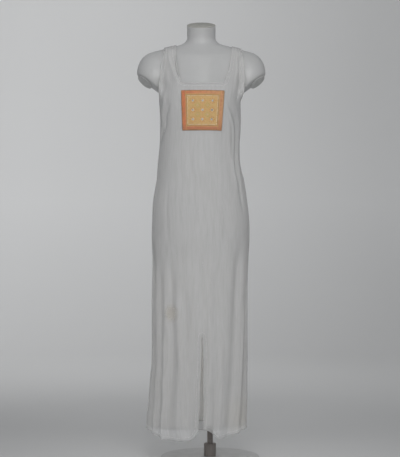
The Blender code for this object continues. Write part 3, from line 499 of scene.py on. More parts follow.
dress = {
    "sections": (
        # height, left, right, front, back
        (0.070, -0.1920, 0.1600, 0.127, 0.125),
        (0.145, -0.1910, 0.1600, 0.126, 0.124),
        (0.200, -0.1853, 0.1619, 0.124, 0.123),
        (0.270, -0.1804, 0.1619, 0.122, 0.122),
        (0.340, -0.1740, 0.1626, 0.120, 0.122),
        (0.550, -0.1734, 0.1626, 0.117, 0.124),
        (0.690, -0.1710, 0.1650, 0.115, 0.128),
        (0.760, -0.1734, 0.1689, 0.114, 0.130),
        (0.830, -0.1724, 0.1682, 0.113, 0.128),
        (0.900, -0.1689, 0.1610, 0.112, 0.119),
        (0.970, -0.1575, 0.1505, 0.112, 0.107),
        (1.005, -0.1545, 0.1415, 0.113, 0.102),
        (1.040, -0.1514, 0.1360, 0.115, 0.099),
        (1.095, -0.1461, 0.1345, 0.118, 0.098),
        (1.140, -0.1444, 0.1374, 0.122, 0.099),
        (1.180, -0.1444, 0.1391, 0.126, 0.100),
        (1.215, -0.1455, 0.1385, 0.1275, 0.101),
        (1.240, -0.1475, 0.1375, 0.1230, 0.102),
        (1.262, -0.1480, 0.1365, 0.1150, 0.102),
    ),
    "frontFolds": (
        # top, place at top, foot, place at foot, depth, width; places run from -1 to 1, seam to seam
        (0.78, -0.86, 0.05, -0.72, 0.0065, 0.070),
        (0.72, -0.62, 0.05, -0.56, 0.0065, 0.065),
        (0.74, -0.41, 0.05, -0.37, 0.0090, 0.070),
        (0.66, -0.23, 0.05, -0.08, 0.0065, 0.065),
        (0.76, 0.12, 0.05, 0.14, -0.0045, 0.060),
        (0.80, 0.60, 0.05, 0.43, 0.0100, 0.080),
        (0.70, 0.90, 0.05, 0.70, 0.0065, 0.065),
        (1.23, 0.44, 0.92, 0.62, -0.0030, 0.050),
        (1.12, -0.16, 0.90, -0.10, 0.0025, 0.060),
    ),
    "backFolds": (
        (0.76, -0.82, 0.05, -0.68, 0.0065, 0.055),
        (0.70, -0.52, 0.05, -0.42, 0.0085, 0.065),
        (0.64, -0.20, 0.05, -0.14, 0.0070, 0.060),
        (0.68, 0.14, 0.05, 0.18, 0.0085, 0.065),
        (0.72, 0.44, 0.05, 0.50, 0.0070, 0.060),
        (0.76, 0.84, 0.05, 0.72, 0.0065, 0.070),
        (1.20, -0.30, 0.90, -0.18, 0.0030, 0.060),
        (1.22, 0.40, 0.92, 0.26, 0.0035, 0.060),
    ),
    "frontCreases": (  # smaller folds on the outer layer alone
        (1.262, 0.80, 1.12, 0.88, -0.0022, 0.020),
        (1.250, -0.68, 1.10, -0.84, -0.0024, 0.022),
        (1.130, -0.86, 0.88, -0.90, 0.0022, 0.024),
        (1.000, -0.74, 0.80, -0.80, 0.0020, 0.022),
        (0.960, -0.50, 0.74, -0.46, 0.0016, 0.026),
        (0.940, 0.30, 0.70, 0.34, 0.0016, 0.028),
        (0.900, -0.92, 0.60, -0.86, 0.0018, 0.020),
        (0.640, -0.76, 0.05, -0.66, -0.0024, 0.026),
        (0.520, -0.31, 0.05, -0.24, -0.0024, 0.030),
        (0.480, 0.30, 0.05, 0.29, -0.0022, 0.030),
        (0.560, 0.74, 0.05, 0.57, -0.0030, 0.030),
        (0.420, 0.95, 0.05, 0.86, 0.0026, 0.026),
        (0.380, -0.95, 0.05, -0.90, 0.0026, 0.026),
        (0.300, 0.20, 0.05, 0.22, 0.0020, 0.022),
    ),
    "backCreases": (
        (1.240, -0.62, 1.02, -0.74, 0.0028, 0.024),
        (1.244, 0.60, 1.04, 0.76, 0.0028, 0.024),
        (1.180, -0.12, 0.92, -0.06, 0.0020, 0.026),
        (1.020, 0.10, 0.84, 0.06, -0.0018, 0.028),
        (0.900, -0.88, 0.62, -0.86, 0.0018, 0.022),
        (0.640, -0.62, 0.05, -0.55, -0.0026, 0.028),
        (0.560, -0.33, 0.05, -0.28, -0.0024, 0.028),
        (0.600, 0.02, 0.05, 0.02, -0.0026, 0.030),
        (0.540, 0.32, 0.05, 0.34, -0.0024, 0.028),
        (0.600, 0.66, 0.05, 0.61, -0.0028, 0.028),
        (0.400, -0.94, 0.05, -0.88, 0.0024, 0.024),
        (0.420, 0.95, 0.05, 0.88, 0.0024, 0.024),
    ),
    "frontPaths": (  # creases that bend: depth, width, then height and place along each
        (0.0048, 0.036, ((1.235, 0.50), (1.216, 0.552), (1.170, 0.650), (1.120, 0.709), (1.035, 0.690),
                         (0.984, 0.665), (0.880, 0.685), (0.820, 0.700))),
        (-0.0034, 0.032, ((1.240, 0.43), (1.205, 0.490), (1.165, 0.570), (1.120, 0.625), (1.035, 0.605),
                          (0.960, 0.590))),
        (-0.0028, 0.030, ((1.236, 0.64), (1.190, 0.735), (1.120, 0.800), (1.030, 0.775), (0.940, 0.760))),
        (0.0048, 0.036, ((1.240, -0.480), (1.2266, -0.534), (1.189, -0.638), (1.1515, -0.665),
                         (1.1208, -0.780), (1.080, -0.840))),
        (-0.0034, 0.040, ((1.290, -0.600), (1.262, -0.640), (1.235, -0.660), (1.200, -0.740),
                          (1.170, -0.780))),
        (-0.0046, 0.026, ((0.470, -0.545), (0.420, -0.540), (0.353, -0.532), (0.217, -0.491),
                          (0.070, -0.480))),
        (-0.0026, 0.044, ((0.480, -0.240), (0.353, -0.250), (0.217, -0.170), (0.070, -0.160))),
        (0.0024, 0.030, ((1.440, -0.700), (1.416, -0.680), (1.354, -0.550), (1.315, -0.500),
                         (1.290, -0.470))),
        (-0.0026, 0.034, ((1.440, -0.600), (1.416, -0.586), (1.358, -0.454), (1.318, -0.405),
                          (1.290, -0.380))),
        (-0.0074, 0.022, ((1.410, -0.325), (1.380, -0.330), (1.340, -0.330), (1.318, -0.330))),
        (0.0026, 0.024, ((1.440, 0.668), (1.400, 0.645), (1.370, 0.640), (1.310, 0.655), (1.250, 0.690),
                         (1.225, 0.700))),
        (-0.0022, 0.028, ((1.430, 0.575), (1.370, 0.560), (1.310, 0.575), (1.260, 0.600))),
    ),
    "backPaths": (
        (0.0044, 0.034, ((1.250, -0.560), (1.200, -0.640), (1.140, -0.720), (1.060, -0.720),
                         (0.980, -0.700))),
        (0.0040, 0.036, ((1.255, 0.520), (1.205, 0.600), (1.150, 0.690), (1.080, 0.740), (1.000, 0.720))),
        (-0.0030, 0.034, ((1.250, -0.480), (1.190, -0.560), (1.120, -0.620), (1.050, -0.620))),
        (0.0020, 0.030, ((1.440, -0.560), (1.400, -0.545), (1.360, -0.520), (1.320, -0.530),
                         (1.290, -0.560))),
        (0.0020, 0.030, ((1.440, 0.500), (1.400, 0.520), (1.360, 0.550), (1.320, 0.560), (1.285, 0.540))),
    ),
    "foldFade": 0.22,           # share of a fold over which it starts
    "pathFade": 0.24,
    "openPathFoot": 0.1,        # a path that ends below this runs out at the hem
    "shortFoldFoot": 0.20,      # a fold that ends above this fades out
    "seamFade": 0.10,
    "formFoot": 0.68,           # below it the cloth hangs free
    "frontHem": (
        (-0.190, 0.107), (-0.172, 0.096), (-0.150, 0.088), (-0.131, 0.079), (-0.045, 0.080), (-0.028, 0.087),
        (-0.014, 0.107), (0.000, 0.117), (0.018, 0.118), (0.038, 0.106), (0.053, 0.090), (0.077, 0.087),
        (0.132, 0.101), (0.160, 0.110),
    ),
    "backHem": (
        (-0.190, 0.107), (-0.150, 0.090), (-0.060, 0.080), (0.070, 0.081), (0.130, 0.096), (0.160, 0.110),
    ),
    "frontLiningHem": (
        (-0.190, 0.116), (-0.130, 0.118), (-0.060, 0.124), (0.000, 0.128), (0.060, 0.126), (0.160, 0.123),
    ),
    "backLiningHem": ((-0.190, 0.116), (-0.100, 0.112), (0.100, 0.113), (0.160, 0.123)),
    "slitTop": 0.436,
    "slitLine": ((0.10, 0.054), (0.436, 0.030), (0.90, 0.010)),  # its place by height
    "slitHalfGapTop": 0.0006,
    "slitHalfGapHem": 0.0098,
    "slitFlare": 0.6,
    "armholePlaces": (-0.73, 0.75),
    "cornerPlaces": (-0.33, 0.38),
    "bodyTop": 1.240,
    "underarmHeight": 1.262,
    "armholeBase": 1.298,
    "armholeDepth": 0.042,
    "armholeCurve": 1.6,
    "shoulderLine": 0.004,
    "pivotHeight": 1.335,
    "neckHeights": (1.303, 1.346),       # front, back
    "cornerHeights": (1.3115, 1.352),
    "neckSquareness": 7,
    "leftStrap": (
        # share of the way up, armhole edge, neck edge
        (0.00, -0.1470, -0.0707), (0.20, -0.1430, -0.0800), (0.45, -0.1400, -0.0848),
        (0.75, -0.1320, -0.0885), (1.00, -0.1268, -0.0890),
    ),
    "rightStrap": (
        (0.00, 0.1490, 0.0823), (0.20, 0.1505, 0.0935), (0.45, 0.1490, 0.1005),
        (0.75, 0.1425, 0.1065), (1.00, 0.1385, 0.1085),
    ),
    "seamGap": 0.0003,
    "clearance": 0.0052,
    "shoulderClearance": 0.0038,
    "strapEase": 1.5,           # how soon a strap takes the shoulder's clearance
}


# The dress: its grids of points

weave = {
    "sideColumns": 28,
    "strapColumns": 44,
    "neckColumns": 92,
    "hemRows": 8,
    "bodyRows": 160,
    "upperRows": 6,         # in each of the two spans between the chest and the yoke
    "strapRows": 28,
    "hemLevel": 0.100,
    "firstLevel": 0.160,
    "outerThickness": 0.0005,
    "liningThickness": 0.0006,
    "layerGap": 0.0014,
    "layerGapAtEdge": 0.0003,
    "easeRows": 24,
    "strapPart": 7,         # a seventh of the strap steers the rows below it
    "relaxRounds": 14,
    "relaxRows": 12,        # below the chest
    "farEdge": 0.3,         # distances beyond this are all the same
    "batch": 2000,
    "openEdgeFoot": 1.12,   # neckline and armholes lie above this
    "slitMargin": 0.02,
    "hemMargin": 0.004,
    "liningHemReach": 0.4,
    "calmEdge": 0.010,      # the crinkle dies away towards edges, seams and shoulders
    "calmSeam": 0.008,
    "calmRows": 3.0,
    "calmLeast": 0.35,
    "calmRange": 0.65,
}
crinkle = {
    "height": 0.00034,
    "seed": 41,
    "bend": 0.006,
    "bendCell": (0.055, 0.10),      # cells are across and up
    "sharpCell": (0.0085, 0.070),
    "wideCell": (0.021, 0.150),
    "patchyCell": (0.060, 0.140),
    "sharpShare": 0.55,
    "wideShare": 0.45,
    "patchyMiddle": 0.62,
    "patchyRange": 0.38,
    "lowest": -0.25,
}
side, strap, neck = weave["sideColumns"], weave["strapColumns"], weave["neckColumns"]
columnCounts = (side, strap, neck, strap, side)
columnStops = [sum(columnCounts[:k]) for k in range(6)]
slitColumn = columnStops[2] + neck // 2
yokeIndex = weave["hemRows"] + weave["bodyRows"] + 2 * weave["upperRows"]
rowCount = yokeIndex + weave["strapRows"] + 1


def columnPlaces():  # from -1 to 1, seam to seam
    arms = dress["armholePlaces"]
    marks = (-1.0, arms[0], *dress["cornerPlaces"], arms[1], 1.0)
    places = [-1.0]
    for start, end, count in zip(marks, marks[1:], columnCounts):
        places += [mix(start, end, (k + 1) / count) for k in range(count)]
    return np.array(places)


def dressRing(side, place, height):  # the dress before its folds, and outwards from it; side is -1 in front
    left = tableAt(dress["sections"], 1, height)
    right = tableAt(dress["sections"], 2, height)
    depth = tableAt(dress["sections"], 3 if side < 0 else 4, height)
    halfWidth = (right - left) / 2
    angle = place * math.pi / 2
    point = np.stack([(left + right) / 2 + halfWidth * np.sin(angle), side * depth * np.cos(angle),
                      height + place * 0], -1)
    outward = unit(np.stack([np.sin(angle) / halfWidth, side * np.cos(angle) / depth, angle * 0], -1))
    return point, outward


def foldDepth(folds, place, height):  # how far the folds press the cloth in
    total = np.zeros(np.broadcast(place, height).shape)
    for top, topPlace, foot, footPlace, depth, width in folds:
        share = (top - height) / (top - foot)
        fade = np.minimum(share / dress["foldFade"], 1.0)
        if foot > dress["shortFoldFoot"]:
            fade = np.minimum(fade, (1 - share) / dress["foldFade"])
        centre = mix(topPlace, footPlace, share)
        total += depth * ease(fade) * np.exp(-((place - centre) / width) ** 2) * (share < 1.0)
    return total


def pathDepth(paths, place, height):  # the same for creases that follow a bent path
    total = np.zeros(np.broadcast(place, height).shape)
    for depth, width, path in paths:
        marks = sorted(path)
        centre = tableAt(marks, 1, height)
        low, high = marks[0][0], marks[-1][0]
        reach = dress["pathFade"] * (high - low)
        fade = ease((high - height) / reach)
        if low > dress["openPathFoot"]:
            fade = fade * ease((height - low) / reach)
        total += depth * fade * np.exp(-((place - centre) / width) ** 2) * (height <= high)
    return total


def slitPlaces(places, height):  # the columns parted at the slit, and the rest spread to either side
    share = np.maximum((dress["slitTop"] - height) / dress["slitTop"], 0.0)
    halfGap = mix(dress["slitHalfGapTop"], dress["slitHalfGapHem"], share ** dress["slitFlare"])
    halfWidth = (tableAt(dress["sections"], 2, height) - tableAt(dress["sections"], 1, height)) / 2
    part = halfGap / (halfWidth * math.pi / 2)
    middle = tableAt(dress["slitLine"], 1, height)
    left = -1 + (1 + places) * (1 + middle - part) / (1 + places[slitColumn])
    right = 1 - (1 - places) * (1 - middle - part) / (1 - places[slitColumn + 1])
    return np.where(np.arange(len(places)) <= slitColumn, left, right)


def seatOnChest(side, x, height):
    origins = np.stack([x, tableAt(form["sections"], 4, height), height], -1)
    return reachOutside(origins, np.tile([0.0, side, 0.0], (len(x), 1)), dress["clearance"])


def yokeRow(side, places):  # the row that ends at the armholes and the neckline and carries the straps
    stops = columnStops
    face = 0 if side < 0 else 1
    row = np.zeros((len(places), 3))
    for armhole, corner, strap in ((stops[1], stops[2], dress["leftStrap"]),
                                   (stops[4], stops[3], dress["rightStrap"])):
        index = np.arange(min(armhole, corner), max(armhole, corner) + 1)
        share = np.abs(index - armhole) / weave["strapColumns"]
        height = mix(dress["armholeBase"], dress["cornerHeights"][face], ease(share))
        seated = seatOnChest(side, mix(strap[0][1], strap[0][2], share), height)
        seated[:, 1] = side * np.maximum(np.abs(seated[:, 1]), dress["armholeDepth"])
        row[index] = seated
    index = np.arange(stops[2] + 1, stops[3])
    share = (places[index] - places[stops[2]]) / (places[stops[3]] - places[stops[2]])
    square = np.abs(2 * share - 1) ** dress["neckSquareness"]
    height = mix(dress["neckHeights"][face], dress["cornerHeights"][face], square)
    row[index] = seatOnChest(side, mix(dress["leftStrap"][0][2], dress["rightStrap"][0][2], share), height)
    for armhole, seam in ((stops[1], 0), (stops[4], stops[5])):
        seamPoint = dressRing(side, places[seam], dress["underarmHeight"])[0]
        base = row[armhole].copy()
        index = np.arange(min(armhole, seam), max(armhole, seam) + 1)
        index = index[index != armhole]
        turn = np.abs(index - seam) / weave["sideColumns"] * math.pi / 2
        curve = (1 - np.cos(turn)) ** dress["armholeCurve"]
        height = mix(dress["underarmHeight"], dress["armholeBase"], curve)
        row[index] = np.stack([mix(seamPoint[0], base[0], np.sin(turn)), base[1] * np.sin(turn), height], -1)
    return row


def strapRows(side, yoke, first, last, strap, leftward):  # a strap's rows above the yoke, up to the shoulder
    index = np.arange(first, last + 1)
    across = (index - first) / (last - first)
    if leftward:
        across = 1 - across
    start = yoke[index]
    startTurn = np.arctan2(start[:, 2] - dress["pivotHeight"], np.abs(start[:, 1] - dress["shoulderLine"]))
    rows = []
    for row in range(1, weave["strapRows"] + 1):
        share = row / weave["strapRows"]
        x = mix(float(tableAt(strap, 2, share)), float(tableAt(strap, 1, share)), across)
        turn = mix(startTurn, math.pi / 2, share)
        clearance = mix(dress["clearance"], dress["shoulderClearance"], min(share * dress["strapEase"], 1.0))
        origins = np.stack([x, x * 0 + dress["shoulderLine"], x * 0 + dress["pivotHeight"]], -1)
        points = reachOutside(origins, np.stack([x * 0, side * np.cos(turn), np.sin(turn)], -1), clearance)
        if row == weave["strapRows"]:
            points[:, 1] = dress["shoulderLine"] + side * dress["seamGap"] / 2
        rows.append(points)
    return np.array(rows)


def between(a, b, c, d, share):  # a smooth curve from b to c
    return 0.5 * (2 * b + (c - a) * share + (2 * a - 5 * b + 4 * c - d) * share ** 2
                  + (3 * b - a - 3 * c + d) * share ** 3)


halves = (slice(0, -1), slice(1, None))
quarters = [(rows, columns) for rows in halves for columns in halves]  # the corners of all cells


def panelCells(side):  # which cells of the grid are cloth
    cells = np.zeros((rowCount - 1, columnStops[5]), bool)
    cells[:yokeIndex] = True
    cells[yokeIndex:, columnStops[1]:columnStops[2]] = True
    cells[yokeIndex:, columnStops[3]:columnStops[4]] = True
    if side < 0:
        cells[:slitRow, slitColumn] = False
    return cells


def gridNormals(points, cells, side):
    filled = np.nan_to_num(points)
    a, b, c, d = filled[:-1, :-1], filled[:-1, 1:], filled[1:, 1:], filled[1:, :-1]
    facing = np.cross(c - a, d - b) * (-side) * cells[..., None]
    normals = np.zeros(points.shape)
    for rows, columns in quarters:
        normals[rows, columns] += facing
    normals[:yokeIndex + 1, [0, -1], 1] = 0.0
    normals[-1, :, 1] = 0.0
    return unit(normals)


def relaxed(points, free):  # each free point moves halfway to the middle of its neighbours, some times over
    for _ in range(weave["relaxRounds"]):
        middle = (np.roll(points, 1, 0) + np.roll(points, -1, 0)
                  + np.roll(points, 1, 1) + np.roll(points, -1, 1)) / 4
        points = np.where(free[..., None], (points + middle) / 2, points)
    return points


# The patch's place on the chest and its colours

patch = {
    # height, then x at the left and at the right
    "top": (1.2758, -0.0690, 0.0795),
    "bottom": (1.1380, -0.0640, 0.0690),
    "gap": 0.0006,
    "groundThickness": 0.0010,
    "borderRise": 0.0011,
    "border": 0.118,          # share of its width
    "holdEdge": 0.004,        # the cloth is held flat up to this far round it
    "cells": 84,
    "orange": (0.67, 0.195, 0.080, 1.0),
    "orangePale": (0.68, 0.375, 0.20, 1.0),
    "orangeDark": (0.44, 0.165, 0.085, 1.0),
    "gold": (0.65, 0.435, 0.190, 1.0),
    "goldDeep": (0.61, 0.365, 0.135, 1.0),
    "goldPale": (0.71, 0.525, 0.260, 1.0),
    "goldDark": (0.50, 0.320, 0.130, 1.0),
    "darkThread": (0.150, 0.085, 0.055, 1.0),
    "green": (0.46, 0.44, 0.14, 1.0),
    "cream": (0.86, 0.81, 0.68, 1.0),
    "grey": (0.52, 0.52, 0.50, 1.0),
    "mirror": (0.80, 0.80, 0.78, 1.0),
}


def patchPlace(across, up):  # x and z of a place on the patch, both shares from 0 to 1
    left = mix(patch["bottom"][1], patch["top"][1], up)
    right = mix(patch["bottom"][2], patch["top"][2], up)
    return mix(left, right, across), mix(patch["bottom"][0], patch["top"][0], up)


def underPatch(points):  # 1 where the patch holds the cloth flat
    x = np.nan_to_num(points[..., 0])
    z = np.nan_to_num(points[..., 2])
    low, high = patch["bottom"][0], patch["top"][0]
    fromSides = np.minimum(x - patch["top"][1], patch["top"][2] - x)
    fromEnds = np.minimum(z - low, high - z)
    return ease((np.minimum(fromSides, fromEnds) + patch["holdEdge"]) / (2 * patch["holdEdge"]))


bodyLevels = np.linspace(weave["firstLevel"], dress["bodyTop"], weave["bodyRows"] + 1)
slitRow = weave["hemRows"] + int(np.searchsorted(bodyLevels, dress["slitTop"]))


def panelGrid(side, hem, creases):
    places = columnPlaces()
    folds = (dress["frontFolds"] if side < 0 else dress["backFolds"]) + creases
    hemPlaces = slitPlaces(places, weave["hemLevel"]) if side < 0 else places
    hemHeights = tableAt(hem, 1, dressRing(side, hemPlaces, weave["hemLevel"])[0][:, 0])
    shares = np.arange(weave["hemRows"])[:, None] / weave["hemRows"]
    heights = np.concatenate([mix(hemHeights[None], weave["firstLevel"], shares),
                              np.repeat(bodyLevels[:, None], len(places), 1)])
    spread = slitPlaces(places, heights) if side < 0 else np.repeat(places[None], len(heights), 0)
    body, outward = dressRing(side, spread, heights)
    fade = np.minimum((1 - np.abs(spread)) / dress["seamFade"], 1.0)
    body -= outward * (foldDepth(folds, spread, heights) * fade)[..., None]
    high = heights[:, 0] > dress["formFoot"]
    body[high] = pushClear(body[high], outward[high], dress["clearance"])

    yoke = yokeRow(side, places)
    points = np.full((rowCount, len(places), 3), np.nan)
    points[:len(body)] = body
    first = strapRows(side, yoke, columnStops[1], columnStops[2], dress["leftStrap"], True)
    second = strapRows(side, yoke, columnStops[3], columnStops[4], dress["rightStrap"], False)
    points[yokeIndex + 1:, columnStops[1]:columnStops[2] + 1] = first
    points[yokeIndex + 1:, columnStops[3]:columnStops[4] + 1] = second
    halfway = (body[-1] + yoke) / 2
    halfway = pushClear(halfway, unit(halfway * np.array([1.0, 1.0, 0.0])), dress["clearance"])
    beyond = 2 * yoke - halfway
    strapStep = weave["strapRows"] // weave["strapPart"]
    for columns in (slice(columnStops[1], columnStops[2] + 1), slice(columnStops[3], columnStops[4] + 1)):
        beyond[columns] = points[yokeIndex + strapStep, columns]
    start = len(body) - 1
    for k in range(1, weave["upperRows"] + 1):
        share = k / weave["upperRows"]
        points[start + k] = between(body[-6], body[-1], halfway, yoke, share)
        points[start + weave["upperRows"] + k] = between(body[-1], halfway, yoke, beyond, share)

    cells = panelCells(side)
    valid = ~np.isnan(points[..., 0])
    free = valid.copy()
    free[1:-1, 1:-1] &= valid[2:, 1:-1] & valid[:-2, 1:-1] & valid[1:-1, 2:] & valid[1:-1, :-2]
    free[:start - weave["relaxRows"]] = False
    free[[0, -1]] = False
    free[:, [0, -1]] = False
    free[yokeIndex, :columnStops[1] + 1] = False
    free[yokeIndex, columnStops[2]:columnStops[3] + 1] = False
    free[yokeIndex, columnStops[4]:] = False
    points = relaxed(points, free)
    normals = gridNormals(points, cells, side)
    paths = dress["frontPaths"] if side < 0 else dress["backPaths"]
    baseFade = np.minimum((1 - np.abs(places)) / dress["seamFade"], 1.0)
    depth = pathDepth(paths, places[None], np.nan_to_num(points[..., 2])) * baseFade
    if side < 0:
        depth = depth * (1 - underPatch(points))
    depth[-1] = 0.0
    points -= normals * depth[..., None]
    points[high.argmax():] = settled(points[high.argmax():], normals[high.argmax():], valid[high.argmax():])
    points[:yokeIndex + 1, [0, -1], 1] = side * dress["seamGap"] / 2
    return points, cells


def settled(points, normals, valid):  # clear of the form everywhere
    moved = points.copy()
    moved[valid] = pushClear(points[valid], normals[valid], dress["shoulderClearance"], 3)
    return moved


def clothCoordinates(points, centreColumn):  # metres across from the centre, and metres up
    filled = np.nan_to_num(points)
    steps = np.linalg.norm(np.diff(filled, axis=1), axis=-1)
    for row in range(yokeIndex + 1, len(points)):
        steps[row] = steps[yokeIndex]
    across = np.concatenate([np.zeros((len(points), 1)), np.cumsum(steps, axis=1)], 1)
    across -= across[:, centreColumn:centreColumn + 1]
    up = filled[..., 2].copy()
    climb = np.linalg.norm(np.diff(filled, axis=0), axis=-1)
    for row in range(yokeIndex + 1, len(points)):
        up[row] = up[row - 1] + climb[row - 1]
    return across, up


def distanceTo(points, lines, chosen):  # distance of the chosen points from some lines
    target = np.concatenate(lines)
    far, batch = weave["farEdge"], weave["batch"]
    result = np.full(points.shape[:-1], far)
    near = points[chosen]
    nearest = np.full(len(near), far)
    for start in range(0, len(near), batch):
        part = near[start:start + batch]
        nearest[start:start + batch] = np.linalg.norm(part[:, None] - target[None], axis=-1).min(axis=1)
    result[chosen] = np.minimum(nearest, far)
    return result


def edgeLines(side):  # neckline, armholes, hem and slit edges, as grid positions
    stops = columnStops

    def downStrap(column):
        return [(row, column) for row in range(rowCount - 1, yokeIndex, -1)]

    def upSlit(column):
        return [(row, column) for row in range(1, slitRow + 1)]

    def along(row, *span):
        return [(row, column) for column in range(*span)]

    lines = {
        "neck": downStrap(stops[2]) + along(yokeIndex, stops[2], stops[3] + 1) + downStrap(stops[3])[::-1],
        "leftArm": downStrap(stops[1]) + along(yokeIndex, stops[1], -1, -1),
        "rightArm": downStrap(stops[4]) + along(yokeIndex, stops[4], stops[5] + 1),
    }
    if side < 0:
        lines["leftHem"] = along(0, slitColumn + 1) + upSlit(slitColumn)
        lines["rightHem"] = along(0, stops[5], slitColumn, -1) + upSlit(slitColumn + 1)
    else:
        lines["hem"] = along(0, stops[5] + 1)
    return lines


def crinkled(across, up, seed):  # the crushed look of the outer layer, at most 1
    bend = crinkle["bend"] * noiseField(across, up, crinkle["bendCell"], seed)
    sharp = 1 - 2 * np.abs(noiseField(across + bend, up, crinkle["sharpCell"], seed + 1))
    wide = 1 - 2 * np.abs(noiseField(across + bend, up, crinkle["wideCell"], seed + 2))
    patchy = noiseField(across, up, crinkle["patchyCell"], seed + 3)
    patchy = crinkle["patchyMiddle"] + crinkle["patchyRange"] * patchy
    both = crinkle["sharpShare"] * sharp + crinkle["wideShare"] * wide
    return np.clip(both * patchy, crinkle["lowest"], 1.0)


def clothMesh(name, points, cells, side, across, up, edgeDistance):
    used = np.zeros(points.shape[:-1], bool)
    for rows, columns in quarters:
        used[rows, columns] |= cells
    number = np.cumsum(used.ravel()).reshape(used.shape) - 1
    corners = np.stack([number[:-1, :-1], number[:-1, 1:], number[1:, 1:], number[1:, :-1]], -1)[cells]
    if side > 0:
        corners = corners[:, ::-1]
    mesh = bpy.data.meshes.new(name)
    mesh.from_pydata(points[used].tolist(), [], corners.tolist())
    mesh.shade_smooth()
    layer = mesh.uv_layers.new(name="cloth")
    flat = np.stack([0.5 + 0.5 * across[used], 0.5 * up[used]], -1)
    layer.data.foreach_set("uv", flat[corners.ravel()].ravel())
    fade = mesh.attributes.new("edgeDistance", "FLOAT", "POINT")
    fade.data.foreach_set("value", edgeDistance[used])
    return mesh


def sheetArea(mesh):
    return sum(face.area for face in mesh.polygons)


# Cloth finishes

clothLook = {
    "colour": (0.790, 0.788, 0.783, 1.0),
    # painted shade, for the crinkles' valleys and the groove at the facing's stitch line
    "creaseShadeColour": (0.680, 0.678, 0.670, 1.0),
    "edgeColour": (0.68, 0.677, 0.668, 1.0),
    "stainColour": (0.60, 0.52, 0.39, 1.0),
    # painted warm reflection, low on the right
    "warmReflectionColour": (0.78, 0.735, 0.65, 1.0),
    "speckColour": (0.20, 0.19, 0.18, 1.0),
    "opacity": 0.32,          # of one face of the outer layer
    "bandWidth": 0.0115,
    "liningColour": (0.880, 0.876, 0.868, 1.0),
    # random mottle, and painted shade in the groove at the stitch line
    "liningMottleAndShadeColour": (0.83, 0.82, 0.80, 1.0),
    "liningGlow": 0.70,       # share of light that the lining lets through
    "streakScale": (260.0, 17.0, 1.0),
    "wideScale": (84.0, 6.5, 1.0),
    "cloudScale": (7.0, 4.0, 1.0),
    "liningScale": (30.0, 5.0, 1.0),
    "threads": 330.0,
    "liningThreads": 520.0,
    "liningBand": 0.016,
    # stain, painted warm reflection and specks: middle and radii on the front, in x and z, and softness
    "stain": ((-0.103, 0.512), (0.028, 0.036), 0.75),
    "warmReflection": ((0.135, 0.150), (0.065, 0.110), 0.9),
    "specks": ((-0.034, 0.540), (0.036, 0.075), 0.3),
    "stainScale": (26.0, 16.0, 1.0),
    "speckScale": (52.0, 30.0, 1.0),
}


def clothPlace(tree):  # the cloth's own coordinates, in metres
    source = node(tree, "UVMap", {"uv_map": "cloth"}).outputs[0]
    return stretched(tree, source, (2.0, 2.0, 1.0))


def weaveHeight(tree, place, threads):  # crossing threads
    inputs = {"Vector": place, "Scale": threads, "Distortion": 1.2, "Detail": 1.0, "Detail Scale": 0.6}
    across, up = (node(tree, "TexWave", {"bands_direction": direction}, inputs).outputs["Fac"]
                  for direction in ("X", "Y"))
    return sums(tree, "MULTIPLY", across, up)


def bandGroove(tree, place, inner, outer):  # how far the facing reaches, and 1 in the groove where it ends
    edgeAt = node(tree, "Attribute", {"attribute_name": "edgeDistance"}).outputs["Fac"]
    groove = sums(tree, "ABSOLUTE", sums(tree, "SUBTRACT", edgeAt, place), 0.0)
    return edgeAt, ramp(tree, groove, 1.0, 0.0, inner, outer)


def spotMask(tree, centre, radii, softness):  # 1 inside an oval on the front, by its x and z
    moved = node(tree, "Mapping", {}, {
        "Vector": ownPlace(tree),
        "Location": (-centre[0] / radii[0], 0.0, -centre[1] / radii[1]),
        "Scale": (1 / radii[0], 0.0, 1 / radii[1])}).outputs[0]
    reach = node(tree, "VectorMath", {"operation": "LENGTH"}, {0: moved}).outputs["Value"]
    return ramp(tree, reach, 1.0, 0.0, 1 - softness, 1.0)


